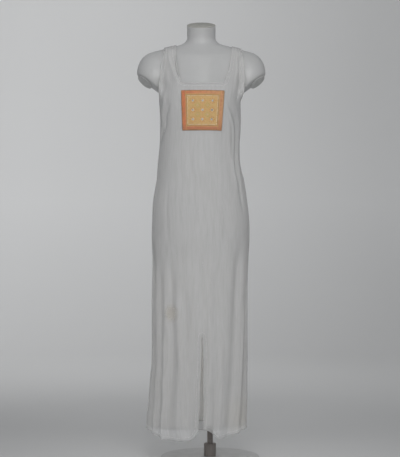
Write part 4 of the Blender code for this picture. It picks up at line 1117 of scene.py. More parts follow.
def makeClothFinish(name, front):
    finish, tree, shader = newFinish(name, {"Roughness": 0.86, "Sheen Weight": 0.18, "Sheen Roughness": 0.5,
                                            "Specular IOR Level": 0.25, "Alpha": clothLook["opacity"]})
    place = clothPlace(tree)
    streaks = noise(tree, stretched(tree, place, clothLook["streakScale"]), 1.0, 4.0, 0.6)
    wide = noise(tree, stretched(tree, place, clothLook["wideScale"]), 1.0, 3.0, 0.6)
    cloudy = noise(tree, stretched(tree, place, clothLook["cloudScale"]), 1.0, 3.0)
    relief = sums(tree, "ADD", sums(tree, "MULTIPLY", streaks, 0.55), sums(tree, "MULTIPLY", wide, 0.45))
    width = clothLook["bandWidth"]
    edgeAt, groove = bandGroove(tree, width, 0.0003, 0.0016)
    band = sums(tree, "MULTIPLY", ramp(tree, edgeAt, 1.0, 0.0, width - 0.0004, width + 0.0004), 0.22)
    shade = clothLook["colour"]
    # painted shade in the crinkles' valleys and in the stitch-line groove; the cloudy tone and the denser
    # facing band are the cloth's own
    for amount, colour in ((ramp(tree, relief, 0.75, 0.0, 0.34, 0.56), "creaseShadeColour"),
                           (ramp(tree, cloudy, 0.0, 0.16, 0.45, 0.7), "edgeColour"), (band, "edgeColour"),
                           (sums(tree, "MULTIPLY", groove, 0.45), "creaseShadeColour")):
        shade = blendColour(tree, amount, shade, clothLook[colour])
    if front:
        stainEdge = noise(tree, stretched(tree, place, clothLook["stainScale"]), 1.0, 3.0)
        specks = node(tree, "TexVoronoi", {"feature": "F1"}, {
            "Vector": stretched(tree, place, clothLook["speckScale"]), "Scale": 1.0}).outputs["Distance"]
        # the stain and specks are marks on the cloth; the warm patch low on the right is a painted warm
        # reflection
        for spot, strength, colour in (
                ("stain", ramp(tree, stainEdge, 0.30, 0.62, 0.25, 0.75), "stainColour"),
                ("warmReflection", 0.35, "warmReflectionColour"),
                ("specks", ramp(tree, specks, 0.65, 0.0, 0.035, 0.075), "speckColour")):
            amount = sums(tree, "MULTIPLY", spotMask(tree, *clothLook[spot]), strength)
            shade = blendColour(tree, amount, shade, clothLook[colour])
    below = bumped(tree, relief, 0.00042, 0.85)
    below = bumped(tree, sums(tree, "SUBTRACT", 1.0, groove), 0.0005, 0.6, below)
    threads = bumped(tree, weaveHeight(tree, place, clothLook["threads"]), 0.00012, 0.5, below)
    paint(tree, shader, shade, ramp(tree, relief, 0.92, 0.80, 0.3, 0.7), threads)
    return finish


def makeLiningFinish():
    finish, tree, shader = newFinish("plainLining", {"Roughness": 0.78, "Sheen Weight": 0.10,
                                                     "Specular IOR Level": 0.3})
    place = clothPlace(tree)
    soft = noise(tree, stretched(tree, place, clothLook["liningScale"]), 1.0, 4.0)
    groove = sums(tree, "MULTIPLY", bandGroove(tree, clothLook["liningBand"], 0.0003, 0.0014)[1], 0.4)
    shade = clothLook["liningColour"]
    # random mottle, and painted shade in the groove at the stitch line
    for amount in (ramp(tree, soft, 0.0, 0.7, 0.4, 0.7), groove):
        shade = blendColour(tree, amount, shade, clothLook["liningMottleAndShadeColour"])
    below = bumped(tree, soft, 0.0006, 0.5)
    threads = bumped(tree, weaveHeight(tree, place, clothLook["liningThreads"]), 0.00008, 0.5, below)
    paint(tree, shader, shade, ramp(tree, soft, 0.72, 0.84, 0.3, 0.7), threads)
    glow = node(tree, "BsdfTranslucent", {}, {"Color": shade}).outputs[0]
    both = node(tree, "MixShader", {}, {0: clothLook["liningGlow"], 1: shader.outputs[0], 2: glow}).outputs[0]
    tree.links.new(both, tree.nodes["Material Output"].inputs["Surface"])
    return finish


frontCloth = makeClothFinish("crinkledSheerFront", True)
backCloth = makeClothFinish("crinkledSheerBack", False)
liningCloth = makeLiningFinish()
print("cloth finishes made")


# Both outer panels and both lining panels

def liningGrid(base, normals, hem):  # every second point of the outer layer, moved in and cut shorter
    rows = np.arange(0, rowCount, 2)
    columns = np.arange(0, columnStops[5] + 1, 2)
    depth = weave["outerThickness"] + mix(weave["layerGapAtEdge"], weave["layerGap"],
                                          ease((yokeIndex - np.arange(rowCount)) / weave["easeRows"]))
    inner = (base - normals * depth[:, None, None])[rows][:, columns]
    hemHeights = tableAt(hem, 1, inner[0, :, 0])
    low = int((inner[:, :, 2].min(axis=1) > hemHeights.max() + weave["hemMargin"]).argmax())
    for column, height in enumerate(hemHeights):
        line = inner[:low + 1, column]
        cut = np.array([np.interp(height, line[:, 2], line[:, axis]) for axis in range(3)])
        inner[:low + 1, column] = mix(cut[None], inner[low, column][None], np.arange(low + 1)[:, None] / low)
    return inner


def addShell(name, mesh, thickness, finish):
    piece = addPiece(name, mesh, finish)
    wall = piece.modifiers.new("wall", "SOLIDIFY")
    wall.thickness = thickness
    wall.offset = -1.0
    wall.use_even_offset = False
    return piece


openEdges, hemEdges = ("neck", "leftArm", "rightArm"), ("leftHem", "rightHem", "hem")
panels = {}
for side, outerName, liningName, hem, liningHem, creases, finish in (
        (-1, "outerFront", "liningFront", dress["frontHem"], dress["frontLiningHem"],
         dress["frontCreases"], frontCloth),
        (1, "outerBack", "liningBack", dress["backHem"], dress["backLiningHem"],
         dress["backCreases"], backCloth)):
    base, cells = panelGrid(side, hem, creases)
    normals = gridNormals(base, cells, side)
    lines = edgeLines(side)
    across, up = clothCoordinates(base, slitColumn)
    edgeDistance = np.full(base.shape[:-1], weave["farEdge"])
    level = base[..., 2]
    for chosen, wanted in ((level > weave["openEdgeFoot"], openEdges),
                           (level < dress["slitTop"] + weave["slitMargin"], hemEdges)):
        near = [np.array([base[spot] for spot in lines[key]]) for key in wanted if key in lines]
        edgeDistance = np.minimum(edgeDistance, distanceTo(base, near, chosen))
    seamDistance = np.minimum(across - across[:, :1], across[:, -1:] - across)
    calm = ease(edgeDistance / weave["calmEdge"]) * weave["calmRange"] + weave["calmLeast"]
    fromShoulder = (rowCount - 1 - np.arange(rowCount))[:, None]
    calm = calm * ease(seamDistance / weave["calmSeam"]) * ease(fromShoulder / weave["calmRows"])
    if side < 0:
        calm = calm * (1 - underPatch(base))
    height = crinkle["height"] * crinkled(across, up, crinkle["seed"] + side) * calm
    outer = base + normals * height[..., None]
    mesh = clothMesh(outerName, outer, cells, side, across, up, edgeDistance)
    area = sheetArea(mesh)
    piece = addShell(outerName, mesh, weave["outerThickness"], finish)
    inner = liningGrid(base, normals, liningHem)
    innerCells = cells[::2, ::2].copy()
    if side < 0:
        innerCells[:(slitRow + 1) // 2, slitColumn // 2] = False
    fromHem = inner[..., 2] - inner[:1, :, 2]
    liningEdge = np.where(inner[..., 2] < weave["liningHemReach"], fromHem, edgeDistance[::2, ::2])
    innerMesh = clothMesh(liningName, inner, innerCells, side, across[::2, ::2], up[::2, ::2], liningEdge)
    innerArea = sheetArea(innerMesh)
    innerPiece = addShell(liningName, innerMesh, weave["liningThickness"], liningCloth)
    panels[side] = {"base": base, "normals": normals, "cells": cells, "lines": lines, "outer": outer,
                    "piece": piece, "lining": innerPiece, "edge": edgeDistance}
    print(outerName, "and", liningName, "made:", round(area, 3), "and", round(innerArea, 3), "square metres")


# Trees for stitches, beads, cords and rolled edges

trim = {
    "edgeRadius": 0.00095,      # of the rolled neckline and armhole edges
    "hemRadius": 0.00055,
    "edgeDepth": 0.9,           # of their centres in the cloth's thickness
    "hemDepth": 0.5,
    "stitchPitch": 0.0036,
    "stitchLength": 0.0026,
    "stitchWidth": 0.00055,
    "stitchHeight": 0.00040,
    "stitchLift": 0.0001,
    "stitchLine": 0.0115,       # from the edge
    "threadColour": (0.66, 0.655, 0.64, 1.0),
    "threadShade": (0.528, 0.524, 0.512, 1.0),
    "edgeTone": (0.62, 0.617, 0.608, 1.0),
    "edgeShade": (0.50, 0.497, 0.490, 1.0),
    "hemTone": (0.43, 0.427, 0.420, 1.0),
}


def newTree(name, inputs):  # a Geometry Nodes tree with named inputs
    tree = bpy.data.node_groups.new(name, "GeometryNodeTree")
    tree.interface.new_socket("Geometry", in_out="INPUT", socket_type="NodeSocketGeometry")
    for label, kind in inputs:
        tree.interface.new_socket(label, in_out="INPUT", socket_type="NodeSocket" + kind)
    tree.interface.new_socket("Geometry", in_out="OUTPUT", socket_type="NodeSocketGeometry")
    start = tree.nodes.new("NodeGroupInput").outputs
    return tree, start, tree.nodes.new("NodeGroupOutput").inputs


def grown(piece, tree, values):  # the piece with a tree run on it, as a plain mesh
    modifier = piece.modifiers.new(tree.name, "NODES")
    modifier.node_group = tree
    for item in tree.interface.items_tree:
        if item.item_type == "SOCKET" and item.in_out == "INPUT" and item.name in values:
            modifier[item.identifier] = values[item.name]
    return plainCopy(piece)


def step(tree, kind, inputs, **settings):  # a Geometry Nodes node and its first output
    return node(tree, "GeometryNode" + kind, settings, inputs).outputs[0]


def named(tree, name):  # a vector kept on the points
    return step(tree, "InputNamedAttribute", {"Name": name}, data_type="FLOAT_VECTOR")


def aimed(tree, axis, pivot, vector, below=None):
    inputs = {"Vector": vector}
    if below is not None:
        inputs["Rotation"] = below
    settings = {"axis": axis, "pivot_axis": pivot}
    return node(tree, "FunctionNodeAlignRotationToVector", settings, inputs).outputs[0]


def finished(tree, geometry, material, end):
    whole = step(tree, "RealizeInstances", {"Geometry": geometry})
    smooth = step(tree, "SetShadeSmooth", {"Geometry": whole})
    tree.links.new(step(tree, "SetMaterial", {"Geometry": smooth, "Material": material}), end["Geometry"])
    return tree


def laidOn(tree, points, piece, turned, size):
    return step(tree, "InstanceOnPoints", {"Points": points, "Instance": piece, "Rotation": turned,
                                           "Scale": size})


def makeStitchTree():  # stitches along lines of edges, at an even pitch
    floats = [(label, "Float") for label in ("Pitch", "Length", "Width", "Height", "Lift")]
    tree, start, end = newTree("stitchesAlongLine", floats + [("Thread", "Material")])
    curve = step(tree, "MeshToCurve", {"Mesh": start["Geometry"]})
    even = step(tree, "ResampleCurve", {"Curve": curve, "Length": start["Pitch"]}, mode="LENGTH")
    facing = named(tree, "facing")
    lift = node(tree, "VectorMath", {"operation": "SCALE"}, {0: facing, "Scale": start["Lift"]}).outputs[0]
    lifted = step(tree, "SetPosition", {"Geometry": even, "Offset": lift})
    turned = aimed(tree, "Z", "X", facing, aimed(tree, "X", "AUTO", step(tree, "InputTangent", {})))
    ball = step(tree, "MeshUVSphere", {"Segments": 8, "Rings": 5, "Radius": 0.5})
    sides = {"X": start["Length"], "Y": start["Width"], "Z": start["Height"]}
    size = node(tree, "CombineXYZ", {}, sides).outputs[0]
    return finished(tree, laidOn(tree, lifted, ball, turned, size), start["Thread"], end)


def makeCordTree():  # a round cord along lines of edges
    tree, start, end = newTree("cordAlongLine", (("Radius", "Float"), ("Thread", "Material")))
    curve = step(tree, "MeshToCurve", {"Mesh": start["Geometry"]})
    circle = step(tree, "CurvePrimitiveCircle", {"Resolution": 8, "Radius": start["Radius"]})
    tube = step(tree, "CurveToMesh", {"Curve": curve, "Profile Curve": circle, "Fill Caps": True})
    return finished(tree, tube, start["Thread"], end)


def makeBeadTree(name, shape):  # a bead on each point, by the point's own size and directions
    tree, start, end = newTree(name, (("Segments", "Int"), ("Thread", "Material")))
    facing, along = named(tree, "facing"), named(tree, "along")
    if shape == "ball":
        bead = step(tree, "MeshUVSphere", {"Segments": start["Segments"], "Rings": 5, "Radius": 0.5})
        turned = aimed(tree, "Z", "X", facing, aimed(tree, "X", "AUTO", along))
    else:
        bead = step(tree, "MeshCylinder", {"Vertices": start["Segments"], "Radius": 0.5, "Depth": 1.0})
        first, second = (facing, along) if shape == "disc" else (along, facing)
        turned = aimed(tree, "X", "Z", second, aimed(tree, "Z", "AUTO", first))
    laid = laidOn(tree, start["Geometry"], bead, turned, named(tree, "size"))
    return finished(tree, laid, start["Thread"], end)


stitchTree = makeStitchTree()
cordTree = makeCordTree()
ballTree = makeBeadTree("roundBeads", "ball")
tubeTree = makeBeadTree("tubeBeads", "tube")
discTree = makeBeadTree("discBeads", "disc")


def carrier(name, points, edges, vectors):  # a mesh of points and edges that a tree works on
    mesh = bpy.data.meshes.new(name)
    mesh.from_pydata([tuple(point) for point in points], edges, [])
    for label, values in vectors.items():
        layer = mesh.attributes.new(label, "FLOAT_VECTOR", "POINT")
        layer.data.foreach_set("vector", np.asarray(values, float).ravel())
    piece = bpy.data.objects.new(name, mesh)
    pieces.objects.link(piece)
    return piece


def makeThread(name, colour, darkColour, scale=900.0, roughness=0.6, sheen=0.25):
    finish, tree, shader = newFinish(name, {"Roughness": roughness, "Sheen Weight": sheen,
                                            "Specular IOR Level": 0.35})
    place = ownPlace(tree)
    grain = noise(tree, place, scale, 3.0, 0.6)
    drift = noise(tree, place, 55.0, 2.0)
    both = sums(tree, "ADD", sums(tree, "MULTIPLY", grain, 0.6), sums(tree, "MULTIPLY", drift, 0.4))
    paint(tree, shader, blendColour(tree, ramp(tree, both, 0.0, 1.0, 0.40, 0.64), colour, darkColour),
          ramp(tree, grain, roughness - 0.1, roughness + 0.12, 0.3, 0.7), bumped(tree, grain, 0.0001, 0.7))
    return finish


# Rolled edges and the stitched lines of the facings

def levelLines(points, normals, cells, field, level):  # where the field crosses a level, as points and edges
    corners = [field[rows, columns] for rows, columns in quarters]
    low, high = np.minimum.reduce(corners), np.maximum.reduce(corners)
    found, places, facings, edges = {}, [], [], []
    for row, column in np.argwhere(cells & (low < level) & (high >= level)):
        corners = ((row, column), (row, column + 1), (row + 1, column + 1), (row + 1, column))
        for triangle in (corners[:3], (corners[0],) + corners[2:]):
            crossings = []
            for a, b in ((0, 1), (1, 2), (2, 0)):
                start, stop = sorted((triangle[a], triangle[b]))
                if (field[start] < level) == (field[stop] < level):
                    continue
                if (start, stop) not in found:
                    share = (level - field[start]) / (field[stop] - field[start])
                    found[(start, stop)] = len(places)
                    places.append(mix(points[start], points[stop], share))
                    facings.append(unit(mix(normals[start], normals[stop], share)))
                crossings.append(found[(start, stop)])
            if len(crossings) == 2:
                edges.append(tuple(crossings))
    return places, edges, facings


clothThread = makeThread("paleThread", trim["threadColour"], trim["threadShade"])
rolledEdge = makeThread("rolledEdge", trim["edgeTone"], trim["edgeShade"], 700.0, 0.85, 0.15)
rolledHem = makeThread("rolledHem", trim["hemTone"], trim["edgeShade"], 700.0, 0.85, 0.15)
panelTrims = {-1: [], 1: []}
for side, label in ((-1, "Front"), (1, "Back")):
    panel = panels[side]
    thickness = weave["outerThickness"]
    for kind, wanted, radius, depth, finish in (
            ("rolledEdges", openEdges, trim["edgeRadius"], trim["edgeDepth"], rolledEdge),
            ("rolledHem", hemEdges, trim["hemRadius"], trim["hemDepth"], rolledHem)):
        points, edges = [], []
        for key in wanted:
            if key not in panel["lines"]:
                continue
            line = np.array([panel["outer"][spot] - panel["normals"][spot] * thickness * depth
                             for spot in panel["lines"][key]])
            edges += [(len(points) + k, len(points) + k + 1) for k in range(len(line) - 1)]
            points += list(line)
        roll = grown(carrier(kind + label, points, edges, {}), cordTree, {"Radius": radius, "Thread": finish})
        panelTrims[side].append(roll)
    points, edges, facings = levelLines(panel["outer"], panel["normals"], panel["cells"], panel["edge"],
                                        trim["stitchLine"])
    stitches = grown(carrier("facingStitches" + label, points, edges, {"facing": facings}), stitchTree,
                     {"Pitch": trim["stitchPitch"], "Length": trim["stitchLength"],
                      "Width": trim["stitchWidth"], "Height": trim["stitchHeight"],
                      "Lift": trim["stitchLift"], "Thread": clothThread})
    panelTrims[side].append(stitches)
faces = sum(len(piece.data.polygons) for piece in panelTrims[-1] + panelTrims[1])
print("edges and stitched lines made:", faces, "faces")


# The embroidered patch: ground, border, cords, beads

ground = {
    "threadGap": 0.00010,
    "satinPitch": 0.00095,
    "satinWidth": 0.0010,
    "satinHeight": 0.0007,
    "satinReach": 1.06,         # of the side threads, as a share of the border
    "satinInset": 0.96,         # of the upper and lower threads
    "cordRadius": 0.00055,
    "cordRise": 0.0002,
    "cordInsets": (0.006, 0.004),  # from the patch's edge and inside its border
    "cordSteps": 60,            # a side
    "beadRowPitch": 0.0034,
    "beadRadius": 0.00115,
    "flowers": 3,               # up and across
    "flowerSpan": (0.27, 0.73),
    "diamondShift": 0.115,
    "diamondReach": 0.0088,
    "mirrorRadius": 0.0030,
    "petals": 8,
    "petalLength": 0.0046,
    "creamReach": 0.0044,
    "petalReach": 0.0088,
    "couchPitch": 0.0030,
    "couchRow": 0.0024,
    "couchInset": 0.045,        # from the border
    "couchTurn": 0.7,
    "oliveShare": 0.30,
    "couchSize": (0.0024, 0.00062, 0.00050),
    "overcastPitch": 0.0023,
    "beadInset": 0.028,
    "seed": 7,
}
frontBase = panels[-1]["base"]
frontPoints = np.nan_to_num(frontBase).reshape(-1, 3)
columnsAll = columnStops[5] + 1
corners = [r * columnsAll + c for r, c in np.argwhere(panels[-1]["cells"])]
frontFaces = [(k, k + 1, k + columnsAll + 1, k + columnsAll) for k in corners]
frontTree = BVHTree.FromPolygons(frontPoints.tolist(), frontFaces)
shares = np.linspace(0, 1, patch["cells"] + 1)
patchBase = np.zeros((len(shares), len(shares), 3))  # up, across
for j, up in enumerate(shares):
    for i, over in enumerate(shares):
        x, z = patchPlace(over, up)
        patchBase[j, i] = frontTree.ray_cast(Vector((x, -0.4, z)), Vector((0.0, 1.0, 0.0)))[0]
patchOut = unit(np.cross(np.gradient(patchBase, axis=1), np.gradient(patchBase, axis=0)))
overAll, upAll = np.meshgrid(shares, shares)
edgeShare = np.minimum.reduce([overAll, upAll, 1 - overAll, 1 - upAll]) / patch["border"]
crown = np.sqrt(np.clip(1 - (2 * edgeShare - 1) ** 2, 0.0, 1.0)) * (edgeShare < 1.0)
patchRise = patch["gap"] + patch["groundThickness"] + patch["borderRise"] * crown
patchFace = patchBase + patchOut * patchRise[..., None]


def onPatch(over, up, rise):  # points on the patch's face and the directions there
    over, up = np.clip(np.asarray(over, float), 0, 1), np.clip(np.asarray(up, float), 0, 1)
    i = np.clip((over * patch["cells"]).astype(int), 0, patch["cells"] - 1)
    j = np.clip((up * patch["cells"]).astype(int), 0, patch["cells"] - 1)
    s = (over * patch["cells"] - i)[:, None]
    t = (up * patch["cells"] - j)[:, None]

    def sample(grid):
        return mix(mix(grid[j, i], grid[j, i + 1], s), mix(grid[j + 1, i], grid[j + 1, i + 1], s), t)

    out = unit(sample(patchOut))
    acrossWay = unit(patchFace[j, i + 1] - patchFace[j, i])
    upWay = unit(patchFace[j + 1, i] - patchFace[j, i])
    return sample(patchFace) + out * rise, out, acrossWay, upWay


def makeGroundFinish():
    finish, tree, shader = newFinish("goldGround", {"Roughness": 0.62, "Sheen Weight": 0.2,
                                                    "Specular IOR Level": 0.4})
    place = node(tree, "UVMap", {"uv_map": "panel"}).outputs[0]
    grain = noise(tree, place, 210.0, 3.0, 0.6)
    patchy = noise(tree, place, 9.0, 3.0)
    slant = node(tree, "Mapping", {}, {"Vector": place, "Rotation": (0.0, 0.0, math.radians(45)),
                                       "Scale": (13.0, 13.0, 1.0)}).outputs[0]
    lattice = node(tree, "TexBrick", {"offset": 0.0, "squash": 1.0}, {
        "Vector": slant, "Scale": 1.0, "Mortar Size": 0.045, "Mortar Smooth": 0.3, "Brick Width": 1.0,
        "Row Height": 1.0}).outputs["Fac"]
    shade = blendColour(tree, ramp(tree, patchy, 0.0, 0.8, 0.38, 0.66), patch["gold"], patch["goldDeep"])
    for amount in (ramp(tree, grain, 0.0, 0.55, 0.45, 0.7), sums(tree, "MULTIPLY", lattice, 0.55)):
        shade = blendColour(tree, amount, shade, patch["goldDark"])
    weft = node(tree, "TexWave", {"bands_direction": "Y"}, {
        "Vector": place, "Scale": 42.0, "Distortion": 1.5}).outputs["Fac"]
    below = bumped(tree, sums(tree, "ADD", weft, grain), 0.00020, 0.7)
    relief = bumped(tree, sums(tree, "SUBTRACT", 1.0, lattice), 0.0003, 0.6, below)
    paint(tree, shader, shade, ramp(tree, grain, 0.5, 0.72, 0.3, 0.7), relief)
    return finish


def makePatchGround():
    mesh = bpy.data.meshes.new("patchGround")
    count = len(shares)
    faces = [(j * count + i, j * count + i + 1, (j + 1) * count + i + 1, (j + 1) * count + i)
             for j in range(count - 1) for i in range(count - 1)]
    mesh.from_pydata(patchFace.reshape(-1, 3).tolist(), [], faces)
    mesh.shade_smooth()
    layer = mesh.uv_layers.new(name="panel")
    flat = np.stack([overAll, upAll], -1).reshape(-1, 2)
    layer.data.foreach_set("uv", flat[np.array(faces).ravel()].ravel())
    piece = addPiece("patchGround", mesh, makeGroundFinish())
    wall = piece.modifiers.new("wall", "SOLIDIFY")
    wall.thickness = patch["groundThickness"]
    wall.offset = -1.0
    return piece


def makeSatin():  # orange red, stronger to the left, brownish along the bottom
    finish, tree, shader = newFinish("satinThread", {"Roughness": 0.48, "Sheen Weight": 0.2,
                                                     "Specular IOR Level": 0.45})
    place = ownPlace(tree)
    parts = node(tree, "SeparateXYZ", {}, {"Vector": place}).outputs
    grain = noise(tree, place, 1000.0, 3.0, 0.6)
    drift = noise(tree, place, 70.0, 3.0)
    tone = patch["orange"]
    for amount, colour in ((ramp(tree, parts["X"], 0.0, 1.0, -0.07, 0.08), "orangePale"),
                           (ramp(tree, parts["Z"], 0.75, 0.0, 1.146, 1.163), "orangeDark"),
                           (ramp(tree, drift, 0.0, 0.5, 0.42, 0.66), "orangeDark"),
                           (ramp(tree, grain, 0.0, 0.35, 0.45, 0.65), "orangePale")):
        tone = blendColour(tree, amount, tone, patch[colour])
    paint(tree, shader, tone, ramp(tree, grain, 0.38, 0.60, 0.3, 0.7), bumped(tree, grain, 0.0001, 0.7))
    return finish


def onPoints(name, tree, over, up, along, sizes, finish, segments, rise):  # beads or threads on the patch
    points, out, acrossWay, upWay = onPatch(over, up, rise)
    ways = unit(acrossWay * np.cos(along)[:, None] + upWay * np.sin(along)[:, None])
    piece = carrier(name, points, [], {"facing": out, "along": ways, "size": sizes})
    return grown(piece, tree, {"Segments": segments, "Thread": finish})


chance = np.random.RandomState(ground["seed"])
patchWide = (patch["top"][2] - patch["top"][1] + patch["bottom"][2] - patch["bottom"][1]) / 2
patchTall = patch["top"][0] - patch["bottom"][0]
borderUp = patch["border"]
trims = []

satin = makeSatin()
over, up, along, length = [], [], [], []
count = int(patchTall / ground["satinPitch"])
for middle in (borderUp / 2, 1 - borderUp / 2):
    over += [middle] * count
    up += list((np.arange(count) + 0.5) / count)
    along += [0.0] * count
    length += [patchWide * borderUp * ground["satinReach"]] * count
count = int(patchWide * (1 - 2 * borderUp) / ground["satinPitch"])
for middle in (borderUp / 2, 1 - borderUp / 2):
    start = borderUp * ground["satinInset"]
    over += list(start + (np.arange(count) + 0.5) / count * (1 - 2 * start))
    up += [middle] * count
    along += [math.pi / 2] * count
    length += [patchTall * start] * count
count = len(along)
along = np.array(along) + chance.uniform(-0.035, 0.035, count)
sizes = np.stack([np.array(length) * chance.uniform(0.93, 1.0, count), np.full(count, ground["satinWidth"]),
                  np.full(count, ground["satinHeight"]) * chance.uniform(0.8, 1.2, count)], -1)
trims.append(onPoints("satinBorder", ballTree, over, up, along, sizes, satin, 8, ground["threadGap"]))

over, up = [], []
pitch = ground["couchPitch"] / patchWide
rowStep = ground["couchRow"] / patchTall
inset = borderUp + ground["couchInset"]
for row in range(int((1 - 2 * inset) / rowStep)):
    for column in range(int((1 - 2 * inset) / pitch)):
        over.append(inset + (column + 0.5 * (row % 2) + 0.3) * pitch + chance.uniform(-0.1, 0.1) * pitch)
        up.append(inset + (row + 0.5) * rowStep + chance.uniform(-0.12, 0.12) * rowStep)
over, up = np.array(over), np.array(up)
inside = over < 1 - inset
over, up = over[inside], up[inside]
even = ((over * 6).astype(int) + (up * 6).astype(int)) % 2 == 0  # blocks of threads that lean to either side
turn = np.where(even, ground["couchTurn"], -ground["couchTurn"]) + chance.uniform(-0.2, 0.2, len(over))
pale = chance.uniform(0, 1, len(over)) < ground["oliveShare"]
threads = {
    "goldCouching": (~pale, makeThread("goldThread", patch["goldPale"], patch["gold"])),
    "oliveCouching": (pale, makeThread("oliveThread", patch["green"], patch["goldDark"])),
}
for name, (chosen, finish) in threads.items():
    size = np.tile(ground["couchSize"], (int(chosen.sum()), 1))
    trims.append(onPoints(name, ballTree, over[chosen], up[chosen], turn[chosen], size, finish, 6,
                          ground["threadGap"]))

darkThread = makeThread("darkBrownThread", patch["darkThread"], patch["orangeDark"])
loops, edges = [], []
for inset in (ground["cordInsets"][0], borderUp + ground["cordInsets"][1]):
    corners = ((inset, inset), (1 - inset, inset), (1 - inset, 1 - inset), (inset, 1 - inset), (inset, inset))
    first = len(loops)
    for start, stop in zip(corners, corners[1:]):
        at = np.linspace(0, 1, ground["cordSteps"], endpoint=False)
        loops += list(onPatch(mix(start[0], stop[0], at), mix(start[1], stop[1], at), ground["cordRise"])[0])
    count = len(loops) - first
    edges += [(first + k, first + (k + 1) % count) for k in range(count)]
trims.append(grown(carrier("patchCords", loops, edges, {}), cordTree,
                   {"Radius": ground["cordRadius"], "Thread": darkThread}))
count = int(patchWide / ground["overcastPitch"])
size = np.stack([chance.uniform(0.0030, 0.0046, count), np.full(count, 0.0007), np.full(count, 0.0006)], -1)
lean = math.pi / 2 + chance.uniform(-0.15, 0.15, count)
trims.append(onPoints("topOvercast", ballTree, (np.arange(count) + 0.5) / count, np.full(count, 0.990),
                      lean, size, darkThread, 6, 0.0006))


def makeBead(name, colour, roughness, metallic=0.0):
    finish, tree, shader = newFinish(name, {"Roughness": roughness, "Metallic": metallic, "Coat Weight": 0.3,
                                            "Coat Roughness": 0.12})
    place = ownPlace(tree)
    drift = noise(tree, place, 420.0, 2.0)
    darker = tuple(0.68 * c for c in colour[:3]) + (1.0,)
    tint = blendColour(tree, ramp(tree, drift, 0.0, 1.0, 0.35, 0.65), colour, darker)
    tree.links.new(tint, shader.inputs["Base Color"])
    tree.links.new(ramp(tree, drift, roughness * 0.8, roughness * 1.3, 0.3, 0.7), shader.inputs["Roughness"])
    return finish


creamGlass = makeBead("creamBead", patch["cream"], 0.30)
orangeGlass = makeBead("orangeBead", patch["orange"], 0.28)
greenGlass = makeBead("greenBead", patch["green"], 0.28)
mirrorGlass = makeBead("smallMirror", patch["mirror"], 0.16, 0.75)
greyGlass = makeBead("greyBead", patch["grey"], 0.35)


def beadsAt(name, spots, size, finish, rise, tree=ballTree, segments=8):  # spots: across, up, turn
    sizes = np.tile(size, (len(spots), 1))
    trims.append(onPoints(name, tree, *np.array(spots).T, sizes, finish, segments, rise))


inset = borderUp + ground["beadInset"]
spots = []
alongTop = int(patchWide * (1 - 2 * inset) / ground["beadRowPitch"])
alongSide = int(patchTall * (1 - 2 * inset) / ground["beadRowPitch"])
for k in range(alongTop + 1):
    at = mix(inset, 1 - inset, k / alongTop)
    spots += [(at, inset, 0.0), (at, 1 - inset, 0.0)]
for k in range(1, alongSide):
    at = mix(inset, 1 - inset, k / alongSide)
    spots += [(inset, at, 0.0), (1 - inset, at, 0.0)]
bead = 2 * ground["beadRadius"]
kept = [spot for k, spot in enumerate(spots) if k % 7]  # some are lost
beadsAt("paleBeadRow", kept, [bead, bead, bead], creamGlass, 0.0007)

mirrors, creams, petals, leaves, greys = [], [], [], [], []
last = ground["flowers"] - 1
for row in range(last + 1):
    for column in range(last + 1):
        over = mix(*ground["flowerSpan"], column / last)
        up = mix(*ground["flowerSpan"], row / last)
        mirrors.append((over, up, 0.0))
        for k in range(ground["petals"]):
            turn = 2 * math.pi * k / ground["petals"]
            for reach, group, shift in ((ground["creamReach"], creams, 0.5),
                                        (ground["petalReach"], petals, 0.0)):
                angle = turn + shift * 2 * math.pi / ground["petals"]
                x, y = reach * math.cos(angle), reach * math.sin(angle)
                group.append((over + x / patchWide, up + y / patchTall, angle))
        if row < last and column < last:
            middle = (over + ground["diamondShift"], up + ground["diamondShift"])
            greys.append(middle + (0.0,))
            for k in range(12):
                quarter, place = divmod(k, 3)
                a, b = math.pi / 2 * quarter, math.pi / 2 * (quarter + 1)
                share = (place + 0.5) / 3
                x = ground["diamondReach"] * mix(math.cos(a), math.cos(b), share)
                y = ground["diamondReach"] * mix(math.sin(a), math.sin(b), share)
                lean = (a + b) / 2 + math.pi / 2
                leaves.append((middle[0] + x / patchWide, middle[1] + y / patchTall, lean))
mirror = 2 * ground["mirrorRadius"]
beadsAt("mirrors", mirrors, [mirror, mirror, 0.0011], mirrorGlass, 0.0005, discTree, 24)
beadsAt("creamBeads", creams, [0.0019, 0.0019, 0.0017], creamGlass, 0.0007)
beadsAt("orangePetals", petals, [0.0013, 0.0013, ground["petalLength"]], orangeGlass, 0.0006, tubeTree)
beadsAt("greenDiamonds", leaves, [0.0012, 0.0012, 0.0034], greenGlass, 0.0006, tubeTree)
beadsAt("greyBeads", greys, [0.0032, 0.0032, 0.0024], greyGlass, 0.0008)
patchGround = makePatchGround()
print("patch embroidered:", len(trims), "groups,", sum(len(piece.data.polygons) for piece in trims), "faces")


# What each piece rides on, stands for and was cut to

for side, outerNode, liningNode in ((-1, "outer_front", "lining_front"), (1, "outer_back", "lining_back")):
    panel = panels[side]
    for piece, nodeName, slotName in ((panel["piece"], outerNode, "outer_cloth"),
                                      (panel["lining"], liningNode, "lining_cloth")):
        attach(piece, "root")
        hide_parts(nodeName)
    for piece in panelTrims[side]:
        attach(piece, "root")
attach(patchGround, "root")
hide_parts("patch")
for piece in trims:
    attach(piece, "root")

cut = {  # width and length of each cloth before it was hung, and its area
    "outerFront": (0.53, 1.42, 0.585),
    "outerBack": (0.51, 1.42, 0.595),
    "liningFront": (0.51, 1.38, 0.560),
    "liningBack": (0.50, 1.38, 0.570),
    "patchGround": (0.150, 0.140, 0.0205),
}
for side in (-1, 1):
    outer, lining = panels[side]["piece"], panels[side]["lining"]
    for piece, other, goingWith in ((outer, lining, panelTrims[side]), (lining, torso, [])):
        width, length, area = cut[piece.name]
width, length, area = cut["patchGround"]
print("pieces placed on the frame")


# Floor, light and camera

